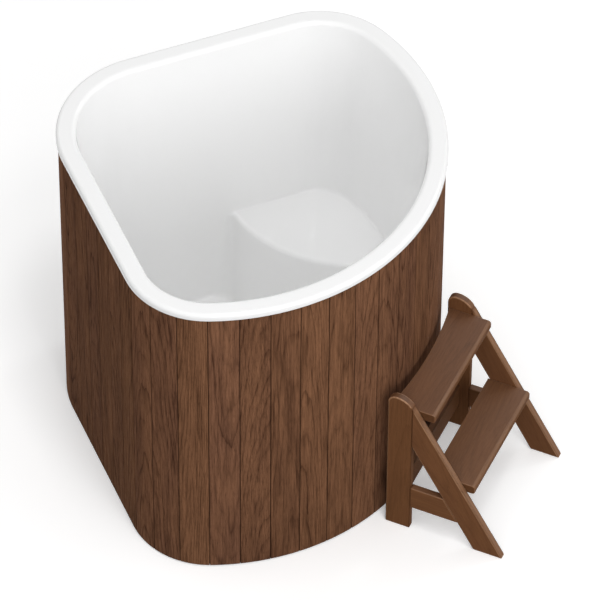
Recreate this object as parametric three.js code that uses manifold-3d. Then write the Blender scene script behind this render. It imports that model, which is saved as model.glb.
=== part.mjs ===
import * as THREE from 'three';
import { mergeVertices } from 'three/addons/utils/BufferGeometryUtils.js';
import Module from 'manifold-3d';

const wasm = await Module();
wasm.setup();

// Cold plunge tub: a moulded white shell with a corner seat, hung in a ring of
// upright boards, with a floor drain, an outside ball valve and loose wooden steps.
// Millimetres, +Z up. The origin is on the ground, at the centre of the front arc.
// +X runs along the tub's line of symmetry, from the back corner towards the steps.

// Plan of the tub, measured at the outside of the boards
const FRONT_RADIUS = 648;
const SIDE_DISTANCE = 378;
const HALF_CORNER_ANGLE = Math.PI / 4;
const BACK_CORNER_RADIUS = 292;
const SIDE_CORNER_RADIUS = 229;

// Heights
const TUB_HEIGHT = 1000;
const FLOOR_HEIGHT = 138;
const SEAT_HEIGHT = 419;

// Boards round the tub
const STAVE_COUNT = 41;
const STAVE_THICKNESS = 20;
const STAVE_FOOT = 3;
const STAVE_TUCK = 6;
const PIPE_STAVE = 15;
const JOINT_GAP = 0.6;
const JOINT_CHAMFER = 1.8;
const TONGUE_LENGTH = 5;
const TONGUE_THICKNESS = 6;
const TONGUE_CLEARANCE = 0.5;

// Moulded shell
const SHELL = 5;
const RIM_INSET = 48;
const RIM_INNER_ROUND = 8;
const LIP_DROP = 22;
const LIP_ROUND = 15;
const LIP_CLEARANCE = 0.8;
const FLOOR_INSET = 150;
const FLOOR_FILLET = 18;

// Corner seat, a turned form about an upright axis beyond the side corner's centre
const SEAT_RADIUS = 333;
const SEAT_FLARE = 44;
const SEAT_SHIFT_X = 9;
const SEAT_SHIFT_Y = 167;
const SEAT_EDGE_ROUND = 20;
const SEAT_BACK_FILLET = 14;
const SEAT_FOOT_FILLET = 25;

// Frame under and behind the boards
const REST_GAP = 0.3;
const FIT_GAP = 0.4;
const FORMER_HEIGHT = 45;
const FORMER_WIDTH = 21;
const DECK_THICKNESS = 21;
const DECK_OPENING_MARGIN = 39;
const BEARER_WIDTH = 45;
const BEARER_PITCH = 320;
const BEARER_SETBACK = 12;

// Floor drain
const DRAIN_RADIUS = 36;
const DRAIN_WALL = 4;
const DRAIN_FLANGE_WIDTH = 16;
const DRAIN_FLANGE_THICKNESS = 4;
const DRAIN_SEAT_DISTANCE = 20;
const DRAIN_GROUND_CLEARANCE = 22;
const GRATE_SLOT_COUNT = 5;
const GRATE_SLOT_WIDTH = 5;
const GRATE_BAR_WIDTH = 5;

// Drain pipe and ball valve
const PIPE_RADIUS = 25;
const PIPE_WALL = 3;
const PIPE_HEIGHT = 62;
const SOCKET_LENGTH = 28;
const SOCKET_STOP = 4;
const SOCKET_WALL = 5;
const PIPE_HOLE_CLEARANCE = 3;
const VALVE_STANDOFF = 12;
const VALVE_LENGTH = 92;
const VALVE_HUB_LENGTH = 24;
const VALVE_WAIST = 4;
const BALL_RADIUS = 25;
const BALL_CLEARANCE = 0.6;
const BALL_BORE = 17;
const BALL_HOUSING_WALL = 7;
const STEM_RADIUS = 7;
const BONNET_RADIUS = 14;
const BONNET_HEIGHT = 16;
const LEVER_LENGTH = 112;
const LEVER_WIDTH = 22;
const LEVER_THICKNESS = 5;
const LEVER_EASE = 1;

// Steps, in their own frame: X forward from the posts' back edge, Y across
const STEP_GAP = 13;
const STEP_SHIFT = -31;
const STEP_TURN = 0.022;
const STEP_WIDTH = 432;
const STEP_BOARD = 20;
const STEP_EASE = 2;
const POST_WIDTH = 72;
const POST_CROWN_RADIUS = 25;
const STRINGER_ANGLE = Math.PI / 3;
const STRINGER_WIDTH = 74;
const SEAM_HEIGHT = 481;
const RAIL_HEIGHT = 77;
const RAIL_FOOT = 86;
const STRETCHER_SETBACK = 25;
const TREAD_THICKNESS = 30;
const TREAD_NOSING = 9;
const TREAD_DEPTH = 126;
const TREAD_DROP = 20;
const UPPER_TREAD_BACK = 5;
const UPPER_TREAD_HOLLOW = 12;
const LOWER_TREAD_OVERHANG = 3;

// Fineness of the curves
const FRONT_STEPS = 32;
const BACK_CORNER_STEPS = 14;
const SIDE_CORNER_STEPS = 10;
const STAVE_STEPS = 3;
const FILLET_STEPS = 3;
const SEAT_SEGMENTS = 96;
const ROUND_SEGMENTS = 24;
const HOLLOW_SEGMENTS = 256;

// Reach of a cutter past the faces it cuts
const CUT_MARGIN = 20;
// Overlap that keeps a rounded cut from only just touching a flat face
const SINK = 0.4;

// Helpers for closed solids

// Merges shared corners and drops triangles that have shrunk to a line.
function closed(geometry) {
  const bare = geometry.clone();
  bare.deleteAttribute('normal');
  bare.deleteAttribute('uv');
  const merged = mergeVertices(bare, 1e-4);
  const kept = [];
  const index = merged.index.array;
  for (let i = 0; i < index.length; i += 3) {
    const [a, b, c] = [index[i], index[i + 1], index[i + 2]];
    if (a !== b && b !== c && c !== a) kept.push(a, b, c);
  }
  merged.setIndex(kept);
  return merged;
}

function solidOf(geometry) {
  const merged = closed(geometry);
  const vertProperties = new Float32Array(merged.attributes.position.array);
  const triVerts = new Uint32Array(merged.index.array);
  return new wasm.Manifold(new wasm.Mesh({ numProp: 3, vertProperties, triVerts }));
}

function geometryOf(solid) {
  const mesh = solid.getMesh();
  const geometry = new THREE.BufferGeometry();
  geometry.setAttribute('position', new THREE.BufferAttribute(new Float32Array(mesh.vertProperties), 3));
  geometry.setIndex(new THREE.BufferAttribute(new Uint32Array(mesh.triVerts), 1));
  geometry.computeVertexNormals();
  return geometry;
}

// Turns a profile of [radius, height] points about the Z axis.
function turned(profile, segments = ROUND_SEGMENTS) {
  const points = profile.map(([radius, height]) => new THREE.Vector2(radius, height));
  return new THREE.LatheGeometry(points, segments).rotateX(Math.PI / 2);
}

// A turned ring: the profile runs back to its own start.
function turnedRing(profile, segments = ROUND_SEGMENTS) {
  return turned([...profile, profile[0]], segments);
}

// A plain round bar along Z.
function bar(radius, low, high, segments = ROUND_SEGMENTS) {
  const length = high - low;
  const geometry = new THREE.CylinderGeometry(radius, radius, length, segments);
  return geometry.rotateX(Math.PI / 2).translate(0, 0, (low + high) / 2);
}

// A plain round bar along X at a given height.
function barAlongX(radius, low, high, height) {
  return bar(radius, low, high).rotateY(Math.PI / 2).translate(0, 0, height);
}

// Points on an arc in a plane of two numbers, from one angle to another.
function arcPoints(centre, radius, from, to, steps) {
  const points = [];
  for (let i = 0; i <= steps; i += 1) {
    const angle = from + ((to - from) * i) / steps;
    points.push([centre[0] + radius * Math.cos(angle), centre[1] + radius * Math.sin(angle)]);
  }
  return points;
}

const model = new THREE.Group();

function addPiece(parent, name, geometry, material) {
  const mesh = new THREE.Mesh(closed(geometry), material.clone());
  mesh.name = name;
  parent.add(mesh);
  return mesh;
}

// Materials, in the photograph's colours
const cladding = new THREE.MeshStandardMaterial({ color: 0x6b4a35, roughness: 0.55, metalness: 0 });
const stepWood = new THREE.MeshStandardMaterial({ color: 0x5d3f2a, roughness: 0.5, metalness: 0 });
const acrylic = new THREE.MeshStandardMaterial({ color: 0xf2f2f2, roughness: 0.12, metalness: 0 });
const plywood = new THREE.MeshStandardMaterial({ color: 0xb08a5c, roughness: 0.8, metalness: 0 });
const softwood = new THREE.MeshStandardMaterial({ color: 0xa58a5e, roughness: 0.85, metalness: 0 });
const greyPlastic = new THREE.MeshStandardMaterial({ color: 0x8d9194, roughness: 0.45, metalness: 0 });
const whitePlastic = new THREE.MeshStandardMaterial({ color: 0xdedede, roughness: 0.3, metalness: 0 });
const nickelBrass = new THREE.MeshStandardMaterial({ color: 0xb9b6ae, roughness: 0.3, metalness: 1 });
const leverSteel = new THREE.MeshStandardMaterial({ color: 0x9a9c9e, roughness: 0.35, metalness: 1 });

// Plan of the tub
// The outline runs anticlockwise from the middle of the front arc. Every point has the
// direction of its outward normal, so an inset outline keeps the same arc centres.

const sideAngle = Math.PI - HALF_CORNER_ANGLE;
const sideNormal = new THREE.Vector2(Math.cos(sideAngle), Math.sin(sideAngle));
const sideAlong = new THREE.Vector2(sideNormal.y, -sideNormal.x);
const cornerReach = FRONT_RADIUS - SIDE_CORNER_RADIUS;
const cornerOffset = SIDE_DISTANCE - SIDE_CORNER_RADIUS;
const cornerAlong = Math.sqrt(cornerReach ** 2 - cornerOffset ** 2);
const sideCornerCentre = new THREE.Vector2()
  .addScaledVector(sideNormal, cornerOffset)
  .addScaledVector(sideAlong, cornerAlong);
const cornerAngle = sideCornerCentre.angle();
const backCentreX = -(SIDE_DISTANCE - BACK_CORNER_RADIUS) / Math.cos(HALF_CORNER_ANGLE);
const backCornerCentre = new THREE.Vector2(backCentreX, 0);
const otherCornerCentre = new THREE.Vector2(sideCornerCentre.x, -sideCornerCentre.y);
const frontCentre = new THREE.Vector2(0, 0);

function arcSegment(centre, radius, from, to, steps) {
  const length = radius * (to - from);
  const at = (share) => {
    const angle = from + (to - from) * share;
    const point = new THREE.Vector2(Math.cos(angle), Math.sin(angle)).multiplyScalar(radius).add(centre);
    return { point, angle };
  };
  return { length, at, steps };
}

function lineSegment(start, end, angle) {
  const length = start.distanceTo(end);
  const at = (share) => ({ point: start.clone().lerp(end, share), angle });
  return { length, at, steps: 1 };
}

function onCorner(centre, radius, angle) {
  return new THREE.Vector2(Math.cos(angle), Math.sin(angle)).multiplyScalar(radius).add(centre);
}

const farAngle = 2 * Math.PI - sideAngle;
const outlineSegments = [
  arcSegment(frontCentre, FRONT_RADIUS, 0, cornerAngle, FRONT_STEPS / 2),
  arcSegment(sideCornerCentre, SIDE_CORNER_RADIUS, cornerAngle, sideAngle, SIDE_CORNER_STEPS),
  lineSegment(
    onCorner(sideCornerCentre, SIDE_CORNER_RADIUS, sideAngle),
    onCorner(backCornerCentre, BACK_CORNER_RADIUS, sideAngle),
    sideAngle,
  ),
  arcSegment(backCornerCentre, BACK_CORNER_RADIUS, sideAngle, farAngle, BACK_CORNER_STEPS),
  lineSegment(
    onCorner(backCornerCentre, BACK_CORNER_RADIUS, farAngle),
    onCorner(otherCornerCentre, SIDE_CORNER_RADIUS, farAngle),
    farAngle,
  ),
  arcSegment(otherCornerCentre, SIDE_CORNER_RADIUS, farAngle, 2 * Math.PI - cornerAngle, SIDE_CORNER_STEPS),
  arcSegment(frontCentre, FRONT_RADIUS, 2 * Math.PI - cornerAngle, 2 * Math.PI, FRONT_STEPS / 2),
];
const perimeter = outlineSegments.reduce((sum, segment) => sum + segment.length, 0);

// The point at a distance along the outline, moved inwards by inset.
function planPoint(distance, inset) {
  let left = ((distance % perimeter) + perimeter) % perimeter;
  let number = 0;
  while (number < outlineSegments.length - 1 && left > outlineSegments[number].length) {
    left -= outlineSegments[number].length;
    number += 1;
  }
  const segment = outlineSegments[number];
  const { point, angle } = segment.at(Math.min(left / segment.length, 1));
  return point.sub(new THREE.Vector2(Math.cos(angle), Math.sin(angle)).multiplyScalar(inset));
}

// Distances along the outline at which the moulded and framed pieces have a corner.
const stations = [];
let travelled = 0;
for (const segment of outlineSegments) {
  for (let i = 0; i < segment.steps; i += 1) {
    stations.push(travelled + (segment.length * i) / segment.steps);
  }
  travelled += segment.length;
}

function insetOutline(inset) {
  return stations.map((distance) => planPoint(distance, inset));
}

// A solid whose skin follows the outline at each [inset, height] of a profile, which
// runs from the bottom's edge to the top's edge; both ends are closed flat.
function outlineSolid(profile) {
  const positions = [];
  for (const [inset, height] of profile) {
    for (const point of insetOutline(inset)) positions.push(point.x, point.y, height);
  }
  const count = stations.length;
  const index = [];
  for (let level = 0; level < profile.length - 1; level += 1) {
    for (let i = 0; i < count; i += 1) {
      const next = (i + 1) % count;
      const [a, b] = [level * count + i, level * count + next];
      index.push(a, b, b + count, a, b + count, a + count);
    }
  }
  const top = (profile.length - 1) * count;
  for (let i = 1; i < count - 1; i += 1) {
    index.push(0, i + 1, i);
    index.push(top, top + i, top + i + 1);
  }
  const geometry = new THREE.BufferGeometry();
  geometry.setAttribute('position', new THREE.Float32BufferAttribute(positions, 3));
  geometry.setIndex(index);
  return geometry;
}

// Shell: rim, tapered wall, floor and seat

const rimUnderside = TUB_HEIGHT - SHELL;
const wallSlope = (FLOOR_INSET - RIM_INSET) / (TUB_HEIGHT - FLOOR_HEIGHT);
const wallLean = Math.atan(wallSlope);
const wallInset = (height) => RIM_INSET + (TUB_HEIGHT - height) * wallSlope;
const wallThickness = SHELL / Math.cos(wallLean);

// The fillet between the wall and a level surface, as [inset, height] points that
// climb from the level surface to the wall; spread widens it to the shell's outside.
function wallFillet(level, radius, spread) {
  const centreHeight = level + radius;
  const centreInset = wallInset(centreHeight) + radius / Math.cos(wallLean);
  const centre = [centreInset, centreHeight];
  return arcPoints(centre, radius + spread, 1.5 * Math.PI, Math.PI + wallLean, FILLET_STEPS);
}

function shellOutside() {
  const lipInset = -LIP_CLEARANCE - SHELL;
  const lipCentre = [lipInset + LIP_ROUND, TUB_HEIGHT - LIP_ROUND];
  const lipFoot = TUB_HEIGHT - LIP_DROP;
  return outlineSolid([
    ...wallFillet(FLOOR_HEIGHT, FLOOR_FILLET, SHELL),
    [wallInset(rimUnderside) - wallThickness, rimUnderside],
    ...arcPoints(lipCentre, LIP_ROUND - SHELL, 0.5 * Math.PI, Math.PI, FILLET_STEPS),
    [lipInset + SHELL, lipFoot],
    [lipInset, lipFoot],
    ...arcPoints(lipCentre, LIP_ROUND, Math.PI, 0.5 * Math.PI, FILLET_STEPS),
  ]);
}

// The bathing space, from a level bottom with a fillet up and out through the rim.
function bathingSpace(level, fillet) {
  const roundTop = TUB_HEIGHT - RIM_INNER_ROUND;
  const roundCentre = [wallInset(roundTop) - RIM_INNER_ROUND, roundTop];
  return outlineSolid([
    ...wallFillet(level, fillet, 0),
    ...arcPoints(roundCentre, RIM_INNER_ROUND, 0, 0.5 * Math.PI, FILLET_STEPS),
    [roundCentre[0], TUB_HEIGHT + CUT_MARGIN],
  ]);
}

const seatAxisX = sideCornerCentre.x + SEAT_SHIFT_X;
const seatAxisY = sideCornerCentre.y + SEAT_SHIFT_Y;
const seatLean = Math.atan(SEAT_FLARE / (SEAT_HEIGHT - FLOOR_HEIGHT));
const seatFace = (height) => SEAT_RADIUS + (SEAT_HEIGHT - height) * Math.tan(seatLean);
const seatFootRadius = seatFace(FLOOR_HEIGHT) + SEAT_FOOT_FILLET;

// The rounded front edge of the seat, from its face up to its top.
function seatEdge(radius) {
  const centreHeight = SEAT_HEIGHT - SEAT_EDGE_ROUND;
  const centre = [seatFace(centreHeight) - SEAT_EDGE_ROUND / Math.cos(seatLean), centreHeight];
  return arcPoints(centre, radius, seatLean, 0.5 * Math.PI, FILLET_STEPS + 1);
}

// Keeps the deep part of the bathing space clear of the seat, up past the rim.
function seatBlock() {
  const footHeight = FLOOR_HEIGHT + SEAT_FOOT_FILLET;
  const footCentre = [seatFace(footHeight) + SEAT_FOOT_FILLET / Math.cos(seatLean), footHeight];
  const footRadius = SEAT_FOOT_FILLET + SINK;
  const foot = arcPoints(footCentre, footRadius, 1.5 * Math.PI, Math.PI + seatLean, FILLET_STEPS);
  const edge = seatEdge(SEAT_EDGE_ROUND + SINK);
  return turned([
    [0, FLOOR_HEIGHT - CUT_MARGIN],
    [foot[0][0], FLOOR_HEIGHT - CUT_MARGIN],
    ...foot,
    ...edge,
    [edge.at(-1)[0], TUB_HEIGHT + 2 * CUT_MARGIN],
    [0, TUB_HEIGHT + 2 * CUT_MARGIN],
  ], SEAT_SEGMENTS).translate(seatAxisX, seatAxisY, 0);
}

// The open space below the seat, behind the shell.
function seatHollow() {
  const edge = seatEdge(SEAT_EDGE_ROUND - SHELL);
  const skin = SHELL / Math.cos(seatLean);
  return turned([
    [0, 0],
    [seatFace(0) - skin, 0],
    ...edge,
    [0, edge.at(-1)[1]],
  ], SEAT_SEGMENTS).translate(seatAxisX, seatAxisY, 0);
}

// Base frame: its X axis points out through the straight side that hides the drain

const base = new THREE.Group();
base.rotation.z = sideAngle;
model.add(base);

const deckTop = FLOOR_HEIGHT - SHELL - REST_GAP;
const deckUnderside = deckTop - DECK_THICKNESS;
const bearerHeight = deckUnderside - REST_GAP;
const frameInset = STAVE_THICKNESS + FIT_GAP;

const flangeRadius = DRAIN_RADIUS + DRAIN_FLANGE_WIDTH;
const drainReach = seatFootRadius + flangeRadius + DRAIN_SEAT_DISTANCE;
const drainPlan = new THREE.Vector2(seatAxisX, seatAxisY - drainReach);
const drainPlace = drainPlan.clone().rotateAround(frontCentre, -sideAngle);
const floorHole = DRAIN_RADIUS + FIT_GAP;
const pipeBore = PIPE_RADIUS - PIPE_WALL;
const pipeSocket = PIPE_RADIUS + FIT_GAP;

const drainHole = solidOf(bar(floorHole, 0, SEAT_HEIGHT).translate(drainPlan.x, drainPlan.y, 0));
const deepSpace = solidOf(bathingSpace(FLOOR_HEIGHT, FLOOR_FILLET)).subtract(solidOf(seatBlock()));
const seatSpace = solidOf(bathingSpace(SEAT_HEIGHT, SEAT_BACK_FILLET));
const shell = solidOf(shellOutside())
  .subtract(deepSpace.add(seatSpace))
  .subtract(solidOf(seatHollow()))
  .subtract(drainHole);
addPiece(model, 'liner', geometryOf(shell), acrylic);

// Boards, tongued and grooved, curved with the outline
// The pipe leaves through the middle of one board, and the ring is counted from there.

const sideStart = outlineSegments[0].length + outlineSegments[1].length;
const pipeDistance = sideStart + cornerAlong + drainPlace.y;
const stavePitch = perimeter / STAVE_COUNT;
const firstStave = pipeDistance - (PIPE_STAVE - 0.5) * stavePitch;
const staveTop = TUB_HEIGHT - LIP_DROP + STAVE_TUCK;
const tongueNear = (STAVE_THICKNESS - TONGUE_THICKNESS) / 2;
const tongueFar = tongueNear + TONGUE_THICKNESS;

// Points along a board's face, from one distance to another at one inset.
function faceRun(from, to, inset) {
  const run = [];
  for (let i = 0; i <= STAVE_STEPS; i += 1) {
    run.push([from + ((to - from) * i) / STAVE_STEPS, inset]);
  }
  return run;
}

function staveGeometry(start) {
  const left = start + JOINT_GAP / 2;
  const right = start + stavePitch - JOINT_GAP / 2;
  const tip = right + TONGUE_LENGTH;
  const grooveEnd = left + TONGUE_LENGTH + TONGUE_CLEARANCE;
  const outline = [
    ...faceRun(left + JOINT_CHAMFER, right - JOINT_CHAMFER, 0),
    [right, JOINT_CHAMFER],
    [right, tongueNear],
    [tip, tongueNear],
    [tip, tongueFar],
    [right, tongueFar],
    ...faceRun(right, left, STAVE_THICKNESS),
    [left, tongueFar + TONGUE_CLEARANCE],
    [grooveEnd, tongueFar + TONGUE_CLEARANCE],
    [grooveEnd, tongueNear - TONGUE_CLEARANCE],
    [left, tongueNear - TONGUE_CLEARANCE],
    [left, JOINT_CHAMFER],
  ];
  const shape = new THREE.Shape(outline.map(([distance, inset]) => planPoint(distance, inset)));
  const depth = staveTop - STAVE_FOOT;
  return new THREE.ExtrudeGeometry(shape, { depth, bevelEnabled: false }).translate(0, 0, STAVE_FOOT);
}

const pipeHoleRadius = PIPE_RADIUS + PIPE_HOLE_CLEARANCE;
const pipeHole = barAlongX(pipeHoleRadius, SIDE_DISTANCE - STAVE_THICKNESS - CUT_MARGIN,
  SIDE_DISTANCE + CUT_MARGIN, PIPE_HEIGHT).translate(0, drainPlace.y, 0);
const pipeHoleSolid = solidOf(pipeHole.rotateZ(sideAngle));

for (let i = 0; i < STAVE_COUNT; i += 1) {
  const start = firstStave + i * stavePitch;
  const fromPipe = Math.abs(start + stavePitch / 2 - pipeDistance);
  const meetsPipe = fromPipe < stavePitch / 2 + TONGUE_LENGTH + pipeHoleRadius;
  const whole = staveGeometry(start);
  const geometry = meetsPipe ? geometryOf(solidOf(whole).subtract(pipeHoleSolid)) : whole;
  addPiece(model, `stave_${String(i + 1).padStart(2, '0')}`, geometry, cladding);
}

// Former ring under the rim, deck under the floor and bearers under the deck

function outlineShape(inset) {
  return new THREE.Shape(insetOutline(inset));
}

const formerShape = outlineShape(frameInset);
formerShape.holes.push(new THREE.Path(insetOutline(frameInset + FORMER_WIDTH)));
const former = new THREE.ExtrudeGeometry(formerShape, { depth: FORMER_HEIGHT, bevelEnabled: false });
former.translate(0, 0, rimUnderside - REST_GAP - FORMER_HEIGHT);
addPiece(model, 'upper_former', former, plywood);

// The deck has a square opening round the drain, to reach its fitting from below.
const deckShape = outlineShape(frameInset);
const openingReach = DRAIN_RADIUS + DECK_OPENING_MARGIN;
const openingCorners = [[-1, -1], [-1, 1], [1, 1], [1, -1]].map(([across, along]) => (
  new THREE.Vector2(drainPlan.x + across * openingReach, drainPlan.y + along * openingReach)
));
deckShape.holes.push(new THREE.Path(openingCorners));
const deck = new THREE.ExtrudeGeometry(deckShape, { depth: DECK_THICKNESS, bevelEnabled: false });
addPiece(model, 'base_deck', deck.translate(0, 0, deckUnderside), plywood);

// How far a bearer can reach inside the boards, over its whole width.
function bearerSpan(offset) {
  const outline = insetOutline(frameInset).map((point) => point.rotateAround(frontCentre, -sideAngle));
  let low = -Infinity;
  let high = Infinity;
  for (const edge of [offset - BEARER_WIDTH / 2, offset + BEARER_WIDTH / 2]) {
    const crossings = [];
    outline.forEach((point, i) => {
      const next = outline[(i + 1) % outline.length];
      if ((point.y - edge) * (next.y - edge) > 0) return;
      const share = (edge - point.y) / (next.y - point.y);
      crossings.push(point.x + (next.x - point.x) * share);
    });
    low = Math.max(low, Math.min(...crossings));
    high = Math.min(high, Math.max(...crossings));
  }
  return [low + BEARER_SETBACK, high - BEARER_SETBACK];
}

const bearerPlaces = { bearer_front: -BEARER_PITCH, bearer_middle: 0, bearer_back: BEARER_PITCH };
for (const [name, offset] of Object.entries(bearerPlaces)) {
  const [low, high] = bearerSpan(offset);
  const block = new THREE.BoxGeometry(high - low, BEARER_WIDTH, bearerHeight);
  const bearer = addPiece(base, name, block, softwood);
  bearer.position.set((low + high) / 2, offset, bearerHeight / 2);
}

// Floor drain: a flanged cup with a slotted grate and a socket for the pipe

const drain = new THREE.Group();
drain.position.set(drainPlace.x, drainPlace.y, 0);
base.add(drain);

const flangeSeat = FLOOR_HEIGHT + REST_GAP;
const flangeTop = flangeSeat + DRAIN_FLANGE_THICKNESS;
const socketEnd = DRAIN_RADIUS + SOCKET_LENGTH;
const pipeStart = DRAIN_RADIUS + SOCKET_STOP;

function drainCup() {
  const cupInside = DRAIN_RADIUS - DRAIN_WALL;
  const cupBottom = DRAIN_GROUND_CLEARANCE + DRAIN_WALL;
  const outside = solidOf(turned([
    [0, DRAIN_GROUND_CLEARANCE],
    [DRAIN_RADIUS, DRAIN_GROUND_CLEARANCE],
    [DRAIN_RADIUS, flangeSeat],
    [flangeRadius, flangeSeat],
    [flangeRadius - DRAIN_FLANGE_THICKNESS / 2, flangeTop],
    [0, flangeTop],
  ]));
  const socket = solidOf(barAlongX(pipeSocket + SOCKET_WALL, 0, socketEnd, PIPE_HEIGHT));
  const inside = solidOf(bar(cupInside, cupBottom, flangeTop - DRAIN_FLANGE_THICKNESS));
  const flow = solidOf(barAlongX(pipeBore, 0, socketEnd + CUT_MARGIN, PIPE_HEIGHT));
  const seat = solidOf(barAlongX(pipeSocket, pipeStart - REST_GAP, socketEnd + CUT_MARGIN, PIPE_HEIGHT));
  let cup = outside.add(socket).subtract(inside).subtract(flow).subtract(seat);
  const slotPitch = GRATE_SLOT_WIDTH + GRATE_BAR_WIDTH;
  for (let i = 0; i < GRATE_SLOT_COUNT; i += 1) {
    const across = (i - (GRATE_SLOT_COUNT - 1) / 2) * slotPitch;
    const slotEdge = Math.abs(across) + GRATE_SLOT_WIDTH / 2;
    const halfLength = Math.sqrt(cupInside ** 2 - slotEdge ** 2) - GRATE_BAR_WIDTH;
    const slot = new THREE.BoxGeometry(2 * halfLength, GRATE_SLOT_WIDTH, 4 * DRAIN_FLANGE_THICKNESS);
    cup = cup.subtract(solidOf(slot.translate(0, across, flangeTop)));
  }
  return geometryOf(cup);
}

addPiece(drain, 'drain_body', drainCup(), whitePlastic);

// Pipe from the drain's socket out through the boards into the valve's socket

const valveStart = SIDE_DISTANCE - drainPlace.x + VALVE_STANDOFF;
const pipeEnd = valveStart + VALVE_HUB_LENGTH - SOCKET_STOP;
const pipe = turnedRing([
  [pipeBore, pipeStart],
  [PIPE_RADIUS, pipeStart],
  [PIPE_RADIUS, pipeEnd],
  [pipeBore, pipeEnd],
]);
addPiece(drain, 'drain_pipe', pipe.rotateY(Math.PI / 2).translate(0, 0, PIPE_HEIGHT), greyPlastic);

// Ball valve: a body in two hubs and a round housing, and a lever that turns the ball

const valve = new THREE.Group();
valve.position.set(valveStart, 0, PIPE_HEIGHT);
drain.add(valve);

const ballPlace = VALVE_LENGTH / 2;
const hubRadius = pipeSocket + SOCKET_WALL;
const housingRadius = BALL_RADIUS + BALL_HOUSING_WALL;
const chamberRadius = BALL_RADIUS + BALL_CLEARANCE;
const bonnetTop = housingRadius + BONNET_HEIGHT;

function valveBody() {
  const chamberTurn = Math.acos(BALL_BORE / chamberRadius);
  const chamber = arcPoints([0, ballPlace], chamberRadius, chamberTurn, -chamberTurn, 2 * FILLET_STEPS);
  const outside = turnedRing([
    [pipeSocket, 0],
    [hubRadius, 0],
    [hubRadius, VALVE_HUB_LENGTH],
    [hubRadius - VALVE_WAIST, VALVE_HUB_LENGTH],
    [housingRadius, ballPlace - BALL_BORE / 2],
    [housingRadius, ballPlace + BALL_BORE / 2],
    [hubRadius - VALVE_WAIST, VALVE_LENGTH - VALVE_HUB_LENGTH],
    [hubRadius, VALVE_LENGTH - VALVE_HUB_LENGTH],
    [hubRadius, VALVE_LENGTH],
    [BALL_BORE, VALVE_LENGTH],
    ...chamber,
    [BALL_BORE, VALVE_HUB_LENGTH - SOCKET_STOP + REST_GAP],
    [pipeSocket, VALVE_HUB_LENGTH - SOCKET_STOP + REST_GAP],
  ]).rotateY(Math.PI / 2);
  const bonnetFoot = BALL_RADIUS + BALL_HOUSING_WALL / 2;
  const bonnet = bar(BONNET_RADIUS, bonnetFoot, bonnetTop).translate(ballPlace, 0, 0);
  const stemHole = bar(STEM_RADIUS + FIT_GAP, 0, bonnetTop + CUT_MARGIN).translate(ballPlace, 0, 0);
  return geometryOf(solidOf(outside).add(solidOf(bonnet)).subtract(solidOf(stemHole)));
}

addPiece(valve, 'valve_body', valveBody(), nickelBrass);

// The lever lies along the boards when the valve is shut, with the ball's bore across the pipe.
function leverShape() {
  const half = LEVER_WIDTH / 2;
  const shape = new THREE.Shape();
  shape.absarc(0, 0, half, 0, Math.PI, false);
  shape.absarc(0, -LEVER_LENGTH + half, half, Math.PI, 2 * Math.PI, false);
  return shape;
}

function valveLever() {
  const ball = new THREE.SphereGeometry(BALL_RADIUS, ROUND_SEGMENTS, ROUND_SEGMENTS / 2);
  ball.rotateX(Math.PI / 2);
  const bore = bar(BALL_BORE, -2 * BALL_RADIUS, 2 * BALL_RADIUS).rotateX(Math.PI / 2);
  const leverFoot = bonnetTop + REST_GAP;
  const stem = bar(STEM_RADIUS, BALL_BORE + LEVER_EASE, leverFoot + LEVER_THICKNESS / 2);
  const plate = new THREE.ExtrudeGeometry(leverShape(), {
    depth: LEVER_THICKNESS - 2 * LEVER_EASE,
    bevelThickness: LEVER_EASE,
    bevelSize: LEVER_EASE,
    bevelOffset: -LEVER_EASE,
    bevelSegments: 1,
    curveSegments: ROUND_SEGMENTS / 4,
  }).translate(0, 0, leverFoot + LEVER_EASE);
  return geometryOf(solidOf(ball).subtract(solidOf(bore)).add(solidOf(stem)).add(solidOf(plate)));
}

addPiece(valve, 'valve_lever', valveLever(), leverSteel).position.set(ballPlace, 0, 0);

// Steps: two side frames of post, stringer and rail, with treads and a stretcher between

const steps = new THREE.Group();
const treadHollowPoint = UPPER_TREAD_BACK + UPPER_TREAD_HOLLOW;
const stepBack = FRONT_RADIUS + STEP_GAP - treadHollowPoint;
steps.position.set(stepBack, STEP_SHIFT, 0);
steps.rotation.z = -STEP_TURN;
model.add(steps);

const stringerRun = 1 / Math.tan(STRINGER_ANGLE);
const stringerDrop = STRINGER_WIDTH / Math.cos(STRINGER_ANGLE);
const stringerTopAt = (height) => POST_WIDTH + (SEAM_HEIGHT - height) * stringerRun;
const stringerUnderAt = (height) => POST_WIDTH + (SEAM_HEIGHT - stringerDrop - height) * stringerRun;
const crownFrontRadius = (POST_WIDTH - POST_CROWN_RADIUS) / Math.sin(STRINGER_ANGLE);
const crownTop = SEAM_HEIGHT + crownFrontRadius * (1 - Math.cos(STRINGER_ANGLE));
const sideMiddle = (STEP_WIDTH - STEP_BOARD) / 2;
const treadLength = STEP_WIDTH - 2 * (STEP_BOARD + REST_GAP);
const seamGap = REST_GAP / Math.sin(STRINGER_ANGLE);

// A board cut to a shape of [forward, height], with eased edges, standing across Y.
function uprightBoard(shape) {
  return new THREE.ExtrudeGeometry(shape, {
    depth: STEP_BOARD - 2 * STEP_EASE,
    bevelThickness: STEP_EASE,
    bevelSize: STEP_EASE,
    bevelOffset: -STEP_EASE,
    bevelSegments: 1,
    curveSegments: FILLET_STEPS + 3,
  }).translate(0, 0, STEP_EASE - STEP_BOARD / 2).rotateX(Math.PI / 2);
}

function polygon(points) {
  return new THREE.Shape(points.map(([forward, height]) => new THREE.Vector2(forward, height)));
}

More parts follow.
